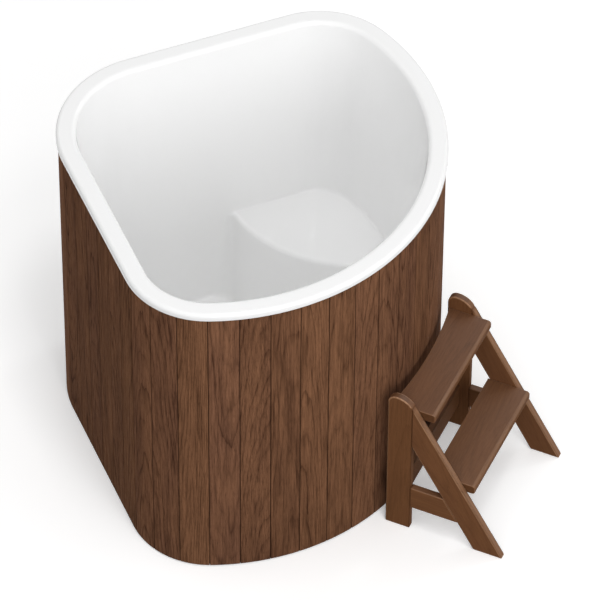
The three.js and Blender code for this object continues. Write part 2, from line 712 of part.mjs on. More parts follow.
function postShape() {
  const shape = new THREE.Shape();
  shape.moveTo(0, 0);
  shape.lineTo(POST_WIDTH, 0);
  shape.lineTo(POST_WIDTH, SEAM_HEIGHT);
  const upright = 0.5 * Math.PI;
  const frontCrown = crownTop - crownFrontRadius;
  const backCrown = crownTop - POST_CROWN_RADIUS;
  shape.absarc(POST_CROWN_RADIUS, frontCrown, crownFrontRadius, upright - STRINGER_ANGLE, upright, false);
  shape.absarc(POST_CROWN_RADIUS, backCrown, POST_CROWN_RADIUS, upright, Math.PI, false);
  return shape;
}

const seamFront = POST_WIDTH + REST_GAP;
const stringerShape = polygon([
  [seamFront, SEAM_HEIGHT - REST_GAP / stringerRun],
  [seamFront, SEAM_HEIGHT - stringerDrop - REST_GAP / stringerRun],
  [stringerUnderAt(0), 0],
  [stringerTopAt(0), 0],
]);
const railTop = RAIL_FOOT + RAIL_HEIGHT;
const railShape = polygon([
  [seamFront, RAIL_FOOT],
  [stringerUnderAt(RAIL_FOOT) - seamGap, RAIL_FOOT],
  [stringerUnderAt(railTop) - seamGap, railTop],
  [seamFront, railTop],
]);

for (const [side, sign] of [['left', -1], ['right', 1]]) {
  const pieces = { post: postShape(), stringer: stringerShape, side_rail: railShape };
  for (const [name, shape] of Object.entries(pieces)) {
    addPiece(steps, `${name}_${side}`, uprightBoard(shape), stepWood).position.y = sign * sideMiddle;
  }
}

// A tread with a rounded front edge, lying between the side frames.
function treadGeometry(back, top) {
  const front = back + TREAD_DEPTH;
  const under = top - TREAD_THICKNESS;
  const shape = new THREE.Shape();
  shape.moveTo(back, under);
  shape.absarc(front - TREAD_NOSING, under + TREAD_NOSING, TREAD_NOSING, 1.5 * Math.PI, 2 * Math.PI, false);
  shape.absarc(front - TREAD_NOSING, top - TREAD_NOSING, TREAD_NOSING, 0, 0.5 * Math.PI, false);
  shape.lineTo(back, top);
  const options = { depth: treadLength, bevelEnabled: false, curveSegments: FILLET_STEPS };
  return new THREE.ExtrudeGeometry(shape, options).rotateX(Math.PI / 2).translate(0, treadLength / 2, 0);
}

// The upper tread is hollowed at the back to follow the tub.
const halfTread = treadLength / 2;
const hollowRadius = (halfTread ** 2 + UPPER_TREAD_HOLLOW ** 2) / (2 * UPPER_TREAD_HOLLOW);
const upperTreadHeight = SEAM_HEIGHT - TREAD_DROP;
const lowerTreadHeight = upperTreadHeight / 2;
const lowerTreadBack = stringerUnderAt(lowerTreadHeight) - LOWER_TREAD_OVERHANG;
const hollow = bar(hollowRadius, lowerTreadHeight, SEAM_HEIGHT, HOLLOW_SEGMENTS)
  .translate(treadHollowPoint - hollowRadius, 0, 0);
const upperTread = solidOf(treadGeometry(UPPER_TREAD_BACK, upperTreadHeight)).subtract(solidOf(hollow));
addPiece(steps, 'upper_tread', geometryOf(upperTread), stepWood);
addPiece(steps, 'lower_tread', treadGeometry(lowerTreadBack, lowerTreadHeight), stepWood);

const stretcher = new THREE.BoxGeometry(STEP_BOARD, treadLength, RAIL_HEIGHT);
addPiece(steps, 'rear_stretcher', stretcher, stepWood)
  .position.set(STRETCHER_SETBACK + STEP_BOARD / 2, 0, RAIL_FOOT + RAIL_HEIGHT / 2);

export default model;
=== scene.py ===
import math
import random

import bmesh
import bpy
from bpy.props import FloatProperty, FloatVectorProperty, IntProperty, PointerProperty
from bpy.types import Operator, Panel, PropertyGroup
from mathutils import Matrix, Vector


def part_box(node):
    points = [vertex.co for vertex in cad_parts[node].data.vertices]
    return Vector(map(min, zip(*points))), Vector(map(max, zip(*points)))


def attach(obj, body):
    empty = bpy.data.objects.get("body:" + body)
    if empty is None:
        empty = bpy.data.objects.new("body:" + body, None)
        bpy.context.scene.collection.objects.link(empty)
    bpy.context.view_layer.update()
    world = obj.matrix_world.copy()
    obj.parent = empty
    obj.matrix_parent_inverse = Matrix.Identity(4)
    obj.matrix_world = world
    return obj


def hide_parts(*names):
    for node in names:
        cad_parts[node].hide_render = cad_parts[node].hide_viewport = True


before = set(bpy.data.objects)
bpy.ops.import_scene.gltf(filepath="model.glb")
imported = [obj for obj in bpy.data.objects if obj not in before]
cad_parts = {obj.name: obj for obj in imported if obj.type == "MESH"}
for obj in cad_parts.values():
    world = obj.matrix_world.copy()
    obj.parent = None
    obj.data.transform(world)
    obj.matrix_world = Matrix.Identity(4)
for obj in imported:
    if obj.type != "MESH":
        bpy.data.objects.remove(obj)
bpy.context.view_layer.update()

bl_info = {
    "name": "Cold Plunge Tub",
    "version": (1, 0, 0),
    "blender": (4, 5, 0),
    "location": "3D View > Sidebar > Plunge Tub",
    "description": "Dresses the plunge tub: boards, moulded liner, drain, valve, steps and studio",
    "category": "Object",
}

QUARTER = math.pi / 2

# Distances in metres under which points count as the same, and decimals that are kept
NO_DISTANCE = 1e-7
SAME_PLACE = 1e-6
SAME_POINT = 1e-5
SAME_HEIGHT = 1e-4
ROUND_DIGITS = 9

# Fineness of the curves, and the angle above which an edge stays sharp
BOARD_SPANS = 6
HOLE_CUTS = 7
EASE_SEGMENTS = 3
FEW_SEGMENTS = 2
LINER_FREE_COLUMNS = 168
LINER_WALL_COLUMNS = 6
LINER_CORNER_COLUMNS = 10
LINER_SEAT_COLUMNS = 40
LINER_WALL_RINGS = 12
FILLET_RINGS = 6
EDGE_RINGS = 9
SHELF_RINGS = 7
LIP_RINGS = 10
TURN_STEPS = 72
CROWN_STEPS = 14
NOSING_STEPS = 8
TREAD_STRIPS = 28
SMOOTH_ANGLE = math.radians(32)

# Rounding: the most of a short side that a rounded corner takes
CORNER_SHARE = 0.45

# The lever's nut: its radius over that of the stem, and its sides
NUT_WIDTH = 1.3
NUT_SIDES = 6

# Smoothing of the liner's hidden skin where it would fold
FOLD_ANGLE = math.radians(35)
FOLD_RINGS = 2
FOLD_ROUNDS = 16

# Forms of the liner, as shares of the sizes that they depend on
SEAT_ROOM = 2.6
EDGE_DEPTH = 0.5
FILLET_DEPTH = 0.4

# Flat bands beside the rim's roundings, in metres
RIM_FLAT = 0.003

# Halvings in the search for the seat's ends
SEARCH_ROUNDS = 50

# Marks on the steps, where 1 is the colour of an eased edge, partly wear and partly a painted highlight,
# and -1 that of end grain; a stringer's upward face gets painted light
EDGE_WEAR_AND_HIGHLIGHT = 1.0
SLOPE_TOP_HIGHLIGHT = 0.4
TREAD_WEAR_AND_HIGHLIGHT = 0.35
HIDDEN_WEAR_AND_HIGHLIGHT = 0.25
END_WEAR = -1.0

# Where that wear and painted light lie: least area of a face, least angle of an edge, and how a face looks
WORN_HIGHLIGHT_FACE = 0.0004
WORN_HIGHLIGHT_ANGLE = math.radians(8)
END_FACING = 0.8
TOP_FACING = 0.3

# Bands and cuts beside the planks' edges, as shares of their rounding
EDGE_BAND = 1.2
EDGE_LIMIT = 1.1
SEAM_BAND = 2
SEAM_CUT = 3
HOLLOW_BAND = 3

# Random seeds, so that every run draws the same wood
BOARD_SEED = 41
STEP_SEED = 7

# Where a board lies in its log: in board widths, in slopes, and along a stock of logs in metres
LOG_ASIDE = 0.7
LOG_DEPTH = (0.6, 1.9)
LOG_LEAN = 0.008
LOG_RISE = (0.020, 0.055)
LOG_STOCK = 40.0

# Board width that the steps' logs are drawn for
STEP_LOG = 0.09

# How fast the painted shade in the boards' joints grows with the depth in a joint
JOINT_FADE = 0.6

# From a board's edges to the first cut along its face, as a share of their rounding
FACE_MARGIN = 3

# Directions in the steps' own frame
FORWARD = Vector((1.0, 0.0, 0.0))
ACROSS = Vector((0.0, 1.0, 0.0))
UP = Vector((0.0, 0.0, 1.0))

# Studio
DEEP_BOUNCES = 12
LIGHT_AIM = Vector((0.2, 0.0, 0.5))
COVE_BAND = (0.20, 0.50)
CEILING_BAND = (0.55, 0.95)
DIM_WALL = 0.05
SENSOR = 36.0
VIEW_REACH = 200.0
WHITE = (1.0, 1.0, 1.0)
PAPER_TONES = ((0.97, 0.97, 0.97), (0.94, 0.94, 0.94))


def length(name, description, default):
    return FloatProperty(
        name=name, description=description, default=default, precision=4, unit="LENGTH"
    )


def angle(name, description, default):
    return FloatProperty(name=name, description=description, default=default, subtype="ANGLE")


def number(name, description, default):
    return FloatProperty(name=name, description=description, default=default)


def count(name, description, default):
    return IntProperty(name=name, description=description, default=default, min=1)


def linear(channel):
    """One channel of a screen colour, 0 to 255, as the linear value that a shader takes."""
    share = channel / 255
    return share / 12.92 if share <= 0.04045 else ((share + 0.055) / 1.055) ** 2.4


def colour(name, description, red, green, blue):
    return FloatVectorProperty(
        name=name,
        description=description,
        default=(linear(red), linear(green), linear(blue)),
        min=0.0,
        max=1.0,
        size=3,
        subtype="COLOR",
    )


class TubPlan(PropertyGroup):
    """Plan of the tub at the outside of the boards."""

    front_radius: length("Front Radius", "Radius of the curved front", 0.648)
    side_distance: length("Side Distance", "From the front's centre to a straight side", 0.378)
    half_corner: angle("Half Corner", "Half the angle between the straight sides", math.pi / 4)
    back_radius: length("Back Corner", "Radius of the back corner", 0.292)
    corner_radius: length("Side Corners", "Radius of the two side corners", 0.229)
    height: length("Height", "From the ground to the rim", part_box("liner")[1].z)


class TubBoards(PropertyGroup):
    """Upright boards round the tub."""

    count: count("Boards", "Number of boards round the tub", 41)
    pipe_board: count("Pipe Board", "Number of the board that the pipe leaves through", 15)
    thickness: length("Thickness", "Thickness of a board", 0.020)
    foot: length("Foot", "Height of the boards' lower end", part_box("stave_01")[0].z)
    top: length("Top", "Height of the boards' upper end, inside the lip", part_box("stave_01")[1].z)
    gap: length("Joint Gap", "Gap between two boards", 0.0006)
    ease: length("Eased Edge", "Rounding of the boards' long outer edges", 0.0020)
    foot_ease: length("Eased Foot", "Rounding of the boards' lower outer edge", 0.0012)
    tongue: length("Tongue", "Length of the tongue", 0.005)
    tongue_thickness: length("Tongue Thickness", "Thickness of the tongue", 0.006)
    clearance: length("Groove Clearance", "Room round the tongue in its groove", 0.0005)
    hole: length("Pipe Hole", "Radius of the hole for the drain pipe", 0.028)


class TubLiner(PropertyGroup):
    """Moulded white liner with its rim and corner seat."""

    shell: length("Shell", "Thickness of the moulded sheet", 0.005)
    rim_inset: length("Rim Inset", "From the boards' outside to the inner wall at the rim", 0.048)
    rim_round: length("Inner Rim Round", "Rounding where the wall turns into the rim", 0.013)
    lip_drop: length("Lip Drop", "How far the lip comes down over the boards", 0.022)
    lip_round: length("Lip Round", "Rounding of the lip's outer edge", 0.010)
    lip_clearance: length("Lip Clearance", "Gap between the lip and the boards", 0.0003)
    lip_ease: length("Eased Lip", "Rounding of the lip's lower edges", 0.0012)
    floor_height: length("Floor Height", "Height of the floor above the ground", 0.138)
    floor_inset: length("Floor Inset", "Inset of the tapered wall at the floor", 0.150)
    floor_fillet: length("Floor Fillet", "Fillet between the wall and the floor", 0.014)
    seat_height: length("Seat Height", "Height of the seat above the ground", 0.419)
    seat_radius: length("Seat Radius", "Radius of the seat's front edge", 0.395)
    seat_flare: length("Seat Flare", "How far the seat's front comes forward at the floor", 0.044)
    seat_shift_x: length("Seat Shift X", "Seat axis from the side corner's centre, along X", 0.013)
    seat_shift_y: length("Seat Shift Y", "Seat axis from the side corner's centre, along Y", 0.234)
    seat_edge: length("Seat Edge", "Rounding of the seat's front edge", 0.013)
    seat_fillet: length("Seat Fillet", "Fillet between the seat and the wall behind it", 0.009)
    seat_foot: length("Seat Foot", "Fillet between the seat's front and the floor", 0.020)
    corner_blend: length("Corner Blend", "Reach of the fillet where seat and wall meet, at the top", 0.017)
    corner_foot: length("Corner Foot", "Reach of that fillet at the floor", 0.048)
    ledge_fade: length("Ledge Fade", "Seat depth below which its top fades into the wall", 0.024)
    ledge_slope: length("Ledge Slope", "Fall of the seat's top where it fades", 0.003)
    floor_margin: length("Floor Margin", "Flat band round the floor inside the fillet", 0.004)


class TubDrain(PropertyGroup):
    """Floor drain, pipe and ball valve."""

    x: length("Drain X", "Place of the drain along X", 0.180553)
    y: length("Drain Y", "Place of the drain along Y", 0.075270)
    radius: length("Drain Radius", "Outer radius of the drain's cup", 0.036)
    wall: length("Drain Wall", "Wall of the drain's cup", 0.004)
    flange: length("Flange", "Width of the flange on the floor", 0.016)
    flange_thickness: length("Flange Thickness", "Thickness of flange and grate", 0.004)
    ground: length("Ground Clearance", "From the ground to the cup", 0.022)
    slot_count: count("Grate Slots", "Number of slots in the grate", 5)
    slot: length("Slot Width", "Width of a slot, and of the bars between", 0.005)
    pipe_radius: length("Pipe Radius", "Outer radius of the pipe", 0.025)
    pipe_wall: length("Pipe Wall", "Wall of the pipe", 0.003)
    pipe_height: length("Pipe Height", "Height of the pipe's axis", 0.062)
    socket: length("Socket", "Length of the drain's socket", 0.028)
    socket_stop: length("Socket Stop", "From the cup to the pipe's end", 0.004)
    socket_wall: length("Socket Wall", "Wall of the sockets", 0.005)
    fit: length("Fit", "Clearance between pipe and sockets", 0.0004)
    rest: length("Rest Gap", "Gap between pieces that rest on each other", 0.0003)
    standoff: length("Standoff", "From the boards to the valve", 0.012)
    valve_length: length("Valve Length", "Length of the valve's body", 0.092)
    hub: length("Hub", "Length of a hub of the valve", 0.024)
    waist: length("Waist", "Depth of the neck beside a hub", 0.004)
    ball: length("Ball", "Radius of the ball", 0.025)
    ball_gap: length("Ball Clearance", "Room round the ball", 0.0006)
    bore: length("Bore", "Radius of the ball's bore", 0.017)
    housing: length("Housing", "Wall round the ball", 0.007)
    stem: length("Stem", "Radius of the valve's stem", 0.007)
    bonnet: length("Bonnet", "Radius of the bonnet", 0.014)
    bonnet_height: length("Bonnet Height", "Height of the bonnet above the housing", 0.016)
    lever: length("Lever", "Length of the lever", 0.112)
    lever_width: length("Lever Width", "Width of the lever", 0.022)
    lever_thickness: length("Lever Thickness", "Thickness of the lever", 0.005)
    ease: length("Eased Edge", "Rounding of the fittings' edges", 0.0012)


class TubSteps(PropertyGroup):
    """Loose wooden steps, in their own frame: X forward from the posts, Y across."""

    x: length("Steps X", "Place of the posts' back edge along X", 0.644)
    y: length("Steps Y", "Place of the steps' middle along Y", -0.031)
    turn: angle("Turn", "Turn of the steps about the vertical", -0.022)
    width: length("Width", "Width over the side frames", 0.432)
    board: length("Board", "Thickness of the side boards", 0.020)
    ease: length("Eased Edge", "Rounding of the boards' edges", 0.0024)
    tread_ease: length("Tread Ease", "Rounding of the treads' other edges", 0.0015)
    rest: length("Rest Gap", "Gap between pieces that touch", 0.0003)
    post: length("Post Width", "Width of a post", 0.072)
    crown: length("Crown Radius", "Radius of the post's crown at the back", 0.025)
    slope: angle("Slope", "Angle of the stringers from the ground", math.pi / 3)
    stringer: length("Stringer", "Width of a stringer", 0.074)
    seam: length("Seam Height", "Height at which post and stringer meet", 0.481)
    rail: length("Rail", "Height of the rails and the stretcher", 0.077)
    rail_foot: length("Rail Foot", "From the ground to the rails", 0.086)
    setback: length("Setback", "From the posts' back edge to the stretcher", 0.025)
    tread: length("Tread", "Thickness of a tread", 0.030)
    nosing: length("Nosing", "Rounding of the treads' front edge", 0.009)
    tread_depth: length("Tread Depth", "Depth of a tread", 0.126)
    tread_drop: length("Tread Drop", "From the seam down to the upper tread", 0.020)
    tread_back: length("Tread Back", "From the posts' back edge to the upper tread", 0.005)
    hollow: length("Hollow", "Depth of the upper tread's hollow back", 0.018)
    overhang: length("Overhang", "Reach of the lower tread behind the stringers", 0.003)


class TubFinishes(PropertyGroup):
    """Colours of the finishes."""

    board_light: colour("Board Light", "Early wood of the boards", 134, 94, 68)
    board_dark: colour("Board Dark", "Late wood of the boards", 68, 44, 30)
    # Painted shade: the colour that the boards' eased edges darken to inside their joints
    board_joint_shade: colour("Board Edge", "Stain in the joints of the boards", 26, 16, 10)
    step_light: colour("Step Light", "Early wood of the steps", 119, 80, 52)
    step_dark: colour("Step Dark", "Late wood of the steps", 75, 48, 30)
    # Partly wear and partly a painted highlight: the light colour of the steps' eased edges
    step_edge_wear_and_highlight: colour("Step Edge", "Worn edges of the steps", 172, 132, 100)
    acrylic: colour("Acrylic", "White of the liner", 243, 243, 243)
    acrylic_worn: colour("Worn Acrylic", "White of the liner where it is dulled", 238, 238, 237)
    plywood: colour("Plywood", "Face of the plywood", 184, 146, 99)
    plywood_dark: colour("Plywood Edge", "Dark plies of the plywood", 130, 92, 58)
    softwood: colour("Softwood", "Early wood of the bearers", 190, 156, 108)
    softwood_dark: colour("Softwood Grain", "Late wood of the bearers", 142, 104, 64)
    fitting: colour("Drain Fitting", "White plastic of the drain", 226, 226, 224)
    pipe: colour("Pipe", "Grey plastic of the pipe", 140, 145, 148)
    brass: colour("Plated Brass", "Plating of the valve", 196, 192, 182)
    steel: colour("Steel", "Metal of the lever and ball", 176, 178, 180)


class TubStage(PropertyGroup):
    """Studio: floor, light and camera."""

    floor_size: length("Floor", "Side of the floor", 30.0)
    floor_drop: length("Floor Drop", "From the object's feet down to the floor", 0.0008)
    floor_glow: number("Floor Glow", "White added to the floor where it is seen as background", 0.24)
    floor_bounce: number("Floor Bounce", "Share of the light that the floor throws back at the tub", 0.35)
    ceiling: number("Ceiling", "Strength of the studio's ceiling", 0.40)
    cove: number("Cove", "Strength of the cove between the studio's walls and ceiling", 0.95)
    walls: number("Walls", "Mean strength of the studio's walls", 0.46)
    walls_slant: number("Walls Slant", "How much brighter the walls are on the lit side", 0.54)
    lit_side: angle("Lit Side", "Direction of the lit side", math.radians(-46))
    top_power: number("Top Light Power", "Power of the steep light", 118.0)
    top_size: length("Top Light Size", "Side of the steep light", 1.6)
    top_height: angle("Top Light Height", "Steep light above the horizon", math.radians(75))
    key_power: number("Key Light Power", "Power of the light that shows the gloss", 56.0)
    key_size: length("Key Light Size", "Side of the light that shows the gloss", 1.4)
    key_height: angle("Key Light Height", "That light above the horizon", math.radians(60))
    side_power: number("Side Light Power", "Power of the low light", 240.0)
    side_size: length("Side Light Size", "Side of the low light", 5.0)
    side_height: angle("Side Light Height", "Low light above the horizon", math.radians(23))
    edge_side: angle("Edge Side", "Direction of the light that shows the rounded edges", math.radians(62))
    edge_power: number("Edge Light Power", "Power of that light", 46.0)
    edge_size: length("Edge Light Size", "Side of that light", 1.4)
    edge_height: angle("Edge Light Height", "That light above the horizon", math.radians(42))
    light_distance: length("Light Distance", "From the tub to the lights", 9.0)
    camera_azimuth: angle("Camera Azimuth", "Direction of the camera", math.radians(-67.408))
    camera_height: angle("Camera Height", "Camera above the horizon", math.radians(46.155))
    camera_roll: angle("Camera Roll", "Roll of the camera", math.radians(0.435))
    camera_place: FloatVectorProperty(
        name="Camera Place",
        description="Place of the camera",
        default=(4.39894, -9.90818, 11.66649),
        size=3,
        subtype="TRANSLATION",
        unit="LENGTH",
    )
    lens: number("Lens", "Focal length in millimetres on a 36 mm sensor", 338.04)


class PlungeTub(PropertyGroup):
    """All sizes and colours of the dressed tub."""

    plan: PointerProperty(type=TubPlan)
    boards: PointerProperty(type=TubBoards)
    liner: PointerProperty(type=TubLiner)
    drain: PointerProperty(type=TubDrain)
    steps: PointerProperty(type=TubSteps)
    finishes: PointerProperty(type=TubFinishes)
    stage: PointerProperty(type=TubStage)


# Plan of the tub


def smooth(share):
    """Eases a share in and out."""
    return share * share * (3 - 2 * share)


def direction(turn):
    return Vector((math.cos(turn), math.sin(turn)))


def slanted(turn, height):
    """The direction of an angle in plan, raised by an angle above the horizon."""
    return Vector((*(direction(turn) * math.cos(height)), math.sin(height)))


def spread(start, end, steps):
    """Even steps from one value up to, but without, another."""
    return [start + (end - start) * i / steps for i in range(steps)]


def arc_points(centre, radius, start, end, steps):
    """Points (x, y) on an arc from one angle to another, with both ends."""
    turns = [*spread(start, end, steps), end]
    return [(centre[0] + radius * math.cos(turn), centre[1] + radius * math.sin(turn)) for turn in turns]


def inward(ring, i):
    """The level direction into a ring at one of its points."""
    along = ring[(i + 1) % len(ring)] - ring[i - 1]
    return Vector((-along.y, along.x)).normalized()


def raised(ring, height):
    """A ring in plan, lifted to a height."""
    return [Vector((*spot, height)) for spot in ring]


class Outline:
    """The boards' outside in plan, anticlockwise from the middle of the front arc."""

    def __init__(self, plan):
        self.side_turn = math.pi - plan.half_corner
        far_turn = 2 * math.pi - self.side_turn
        normal = direction(self.side_turn)
        along = Vector((normal.y, -normal.x))
        reach = plan.front_radius - plan.corner_radius
        offset = plan.side_distance - plan.corner_radius
        run = math.sqrt(reach**2 - offset**2)
        self.seat_corner = normal * offset + along * run
        self.front_turn = math.atan2(self.seat_corner.y, self.seat_corner.x)
        back_x = -(plan.side_distance - plan.back_radius) / math.cos(plan.half_corner)
        front = (Vector((0.0, 0.0)), plan.front_radius)
        seat = (self.seat_corner, plan.corner_radius)
        back = (Vector((back_x, 0.0)), plan.back_radius)
        other = (Vector((self.seat_corner.x, -self.seat_corner.y)), plan.corner_radius)
        self.parts = [
            self.arc(*front, 0.0, self.front_turn),
            self.arc(*seat, self.front_turn, self.side_turn),
            self.line(seat, back, self.side_turn),
            self.arc(*back, self.side_turn, far_turn),
            self.line(back, other, far_turn),
            self.arc(*other, far_turn, 2 * math.pi - self.front_turn),
            self.arc(*front, 2 * math.pi - self.front_turn, 2 * math.pi),
        ]
        self.perimeter = sum(part[0] for part in self.parts)
        self.side_start = self.parts[0][0] + self.parts[1][0]
        self.seat_middle = self.parts[0][0] + self.parts[1][0] / 2
        self.side_end = self.side_start + self.parts[2][0]
        self.side_run = run

    @staticmethod
    def arc(centre, radius, start, end):
        def at(share):
            turn = start + (end - start) * share
            return centre + direction(turn) * radius, turn

        return radius * (end - start), at

    @staticmethod
    def line(first, second, turn):
        start = first[0] + direction(turn) * first[1]
        end = second[0] + direction(turn) * second[1]
        return (end - start).length, lambda share: (start.lerp(end, share), turn)

    def point(self, distance, inset):
        """The point at a distance along the outline, moved inwards by the inset."""
        left = distance % self.perimeter
        for span, at in self.parts:
            if left <= span:
                break
            left -= span
        place, turn = at(min(left / span, 1.0))
        return place - direction(turn) * inset


# Modelling helpers


def cut(bm, place, normal, faces=None):
    """Cuts a whole shape, or some of its faces, along a plane."""
    parts = bm.verts[:] + bm.edges[:] + bm.faces[:]
    if faces is not None:
        parts = list(dict.fromkeys(part for face in faces for part in [face, *face.edges, *face.verts]))
    bmesh.ops.bisect_plane(bm, geom=parts, dist=NO_DISTANCE, plane_co=place, plane_no=normal)


def ease(bm, parts, reach, segments=EASE_SEGMENTS, affect="EDGES"):
    """Rounds edges, or the corners of flat faces."""
    bmesh.ops.bevel(
        bm,
        geom=parts,
        offset=reach,
        offset_type="OFFSET",
        segments=segments,
        profile=0.5,
        affect=affect,
        clamp_overlap=affect == "EDGES",
        material=-1,
    )


def sharp_edges(bm, least=SMOOTH_ANGLE):
    return [edge for edge in bm.edges if edge.is_manifold and edge.calc_face_angle() > least]


def push(bm, faces, way):
    """Gives flat faces a thickness along a vector."""
    made = bmesh.ops.extrude_face_region(bm, geom=faces)["geom"]
    moved = [part for part in made if isinstance(part, bmesh.types.BMVert)]
    bmesh.ops.translate(bm, verts=moved, vec=way)
    bmesh.ops.recalc_face_normals(bm, faces=bm.faces)


def prism(bm, points, way):
    """A closed solid from a flat outline of points, pushed along a vector."""
    push(bm, [bm.faces.new([bm.verts.new(point) for point in points])], way)


def bend(points, reach):
    """Rounds the inner corners of a run of (radius, height) points."""
    corners = [Vector(point) for point in points]
    run = [corners[0]]
    for before, corner, after in zip(corners, corners[1:], corners[2:]):
        back, forward = before - corner, after - corner
        side = min(reach, CORNER_SHARE * back.length, CORNER_SHARE * forward.length)
        start = corner + back.normalized() * side
        end = corner + forward.normalized() * side
        for share in [*spread(0.0, 1.0, EASE_SEGMENTS), 1.0]:
            run.append(start.lerp(corner, share).lerp(corner.lerp(end, share), share))
    return run + [corners[-1]]


def turned(bm, profile, closed=False):
    """Spins (radius, height) points round Z; a closed profile makes a ring."""
    made = [bm.verts.new((radius, 0.0, height)) for radius, height in profile]
    pairs = list(zip(made, made[1:]))
    if closed:
        pairs.append((made[-1], made[0]))
    edges = [bm.edges.new(pair) for pair in pairs]
    bmesh.ops.spin(
        bm,
        geom=made + edges,
        cent=(0.0, 0.0, 0.0),
        axis=(0.0, 0.0, 1.0),
        dvec=(0.0, 0.0, 0.0),
        angle=2 * math.pi,
        steps=TURN_STEPS,
        use_merge=True,
    )
    bmesh.ops.remove_doubles(bm, verts=bm.verts, dist=SAME_PLACE)
    bmesh.ops.recalc_face_normals(bm, faces=bm.faces)


def turned_ring(bm, profile, reach):
    """Spins a closed (radius, height) outline with all its corners rounded."""
    rounded = bend([profile[-1], *profile, profile[0]], reach)[1:-1]
    turned(bm, rounded, closed=True)


def tube(inner, outer, low, high, reach):
    """A round tube about Z with its edges rounded."""
    bm = bmesh.new()
    turned_ring(bm, [(inner, low), (outer, low), (outer, high), (inner, high)], reach)
    return bm


def merge(bm, part):
    """Adds another shape to a shape under construction."""
    mesh = bpy.data.meshes.new("part")
    part.to_mesh(mesh)
    part.free()
    bm.from_mesh(mesh)
    bpy.data.meshes.remove(mesh)


def place(bm, matrix):
    bmesh.ops.transform(bm, matrix=matrix, verts=bm.verts)


def finish_piece(bm, name, material, body, slot, *nodes):
    """Makes an object of a closed shape, standing for its nodes on their body."""
    if not bm.faces:
        raise RuntimeError(f"{name} has no faces")
    loose = [edge for edge in bm.edges if not edge.is_manifold]
    if loose:
        raise RuntimeError(f"{name} isn't closed: {len(loose)} open edges")
    mesh = bpy.data.meshes.new(name)
    bm.to_mesh(mesh)
    bm.free()
    mesh.shade_smooth()
    mesh.set_sharp_from_angle(angle=SMOOTH_ANGLE)
    mesh.materials.append(material)
    piece = bpy.data.objects.new(name, mesh)
    bpy.context.scene.collection.objects.link(piece)
    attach(piece, body)
    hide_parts(*nodes)
    return piece


# Finishes


class Nodes:
    """Short calls to add the nodes of a tree and to join them."""

    def __init__(self, tree):
        self.tree = tree

    def join(self, socket, value):
        """Links an output to a socket, or sets the socket to a plain value."""
        if isinstance(value, bpy.types.NodeSocket):
            self.tree.links.new(value, socket)
        elif socket.type == "RGBA":
            socket.default_value = (*value[:3], 1.0)
        else:
            socket.default_value = value

    def set(self, node, sockets):
        for key, value in sockets.items():
            self.join(node.inputs[key], value)

    def add(self, kind, sockets, **settings):
        node = self.tree.nodes.new(kind)
        for key, value in settings.items():
            setattr(node, key, value)
        self.set(node, sockets)
        return node

    def math(self, operation, first, second=0.0, clamp=False):
        sockets = {0: first, 1: second}
        return self.add("ShaderNodeMath", sockets, operation=operation, use_clamp=clamp).outputs[0]

    def sum(self, *terms, clamp=False):
        """Adds up terms, each a value and the factor that it is taken by."""
        total = 0.0
        for value, factor in terms:
            sockets = {0: value, 1: factor, 2: total}
            node = self.add("ShaderNodeMath", sockets, operation="MULTIPLY_ADD")
            total = node.outputs[0]
        node.use_clamp = clamp
        return total

    def scaled(self, vector, factors):
        node = self.add("ShaderNodeVectorMath", {0: vector, 1: factors}, operation="MULTIPLY")
        return node.outputs["Vector"]

    def noise(self, vector, factors, detail=2.0, roughness=0.5):
        sockets = {
            "Vector": self.scaled(vector, factors),
            "Scale": 1.0,
            "Detail": detail,
            "Roughness": roughness,
        }
        return self.add("ShaderNodeTexNoise", sockets).outputs["Fac"]

    def range(self, value, low, high, to_low=0.0, to_high=1.0):
        sockets = {
            "Value": value,
            "From Min": low,
            "From Max": high,
            "To Min": to_low,
            "To Max": to_high,
        }
        return self.add("ShaderNodeMapRange", sockets).outputs["Result"]

    def mix(self, share, first, second, blend="MIX"):
        node = self.add("ShaderNodeMix", {}, data_type="RGBA", blend_type=blend)
        named = {socket.identifier: socket for socket in node.inputs}
        for key, value in {"Factor_Float": share, "A_Color": first, "B_Color": second}.items():
            self.join(named[key], value)
        return next(out for out in node.outputs if out.identifier == "Result_Color")

    def ramp(self, value, stops):
        node = self.add("ShaderNodeValToRGB", {"Fac": value})
        steps = node.color_ramp.elements
        while len(steps) < len(stops):
            steps.new(0.5)
        for step, (position, level) in zip(steps, stops):
            step.position = position
            step.color = (level, level, level, 1.0)
        return node.outputs["Color"]

    def bump(self, height, strength, distance):
        sockets = {"Height": height, "Strength": strength, "Distance": distance}
        return self.add("ShaderNodeBump", sockets).outputs["Normal"]

    def attribute(self, name):
        node = self.add("ShaderNodeAttribute", {}, attribute_name=name)
        return node.outputs["Vector"]

    def height(self, vector):
        return self.add("ShaderNodeSeparateXYZ", {0: vector}).outputs["Z"]

    def coordinates(self):
        return self.add("ShaderNodeTexCoord", {}).outputs["Object"]


class Finish(Nodes):
    """A material under construction."""

    def __init__(self, name):
        self.material = bpy.data.materials.new(name)
        self.material.use_nodes = True
        super().__init__(self.material.node_tree)

    def finish(self, sockets):
        self.set(self.tree.nodes["Principled BSDF"], sockets)
        return self.material


def darker(base, share):
    return [channel * share for channel in base]


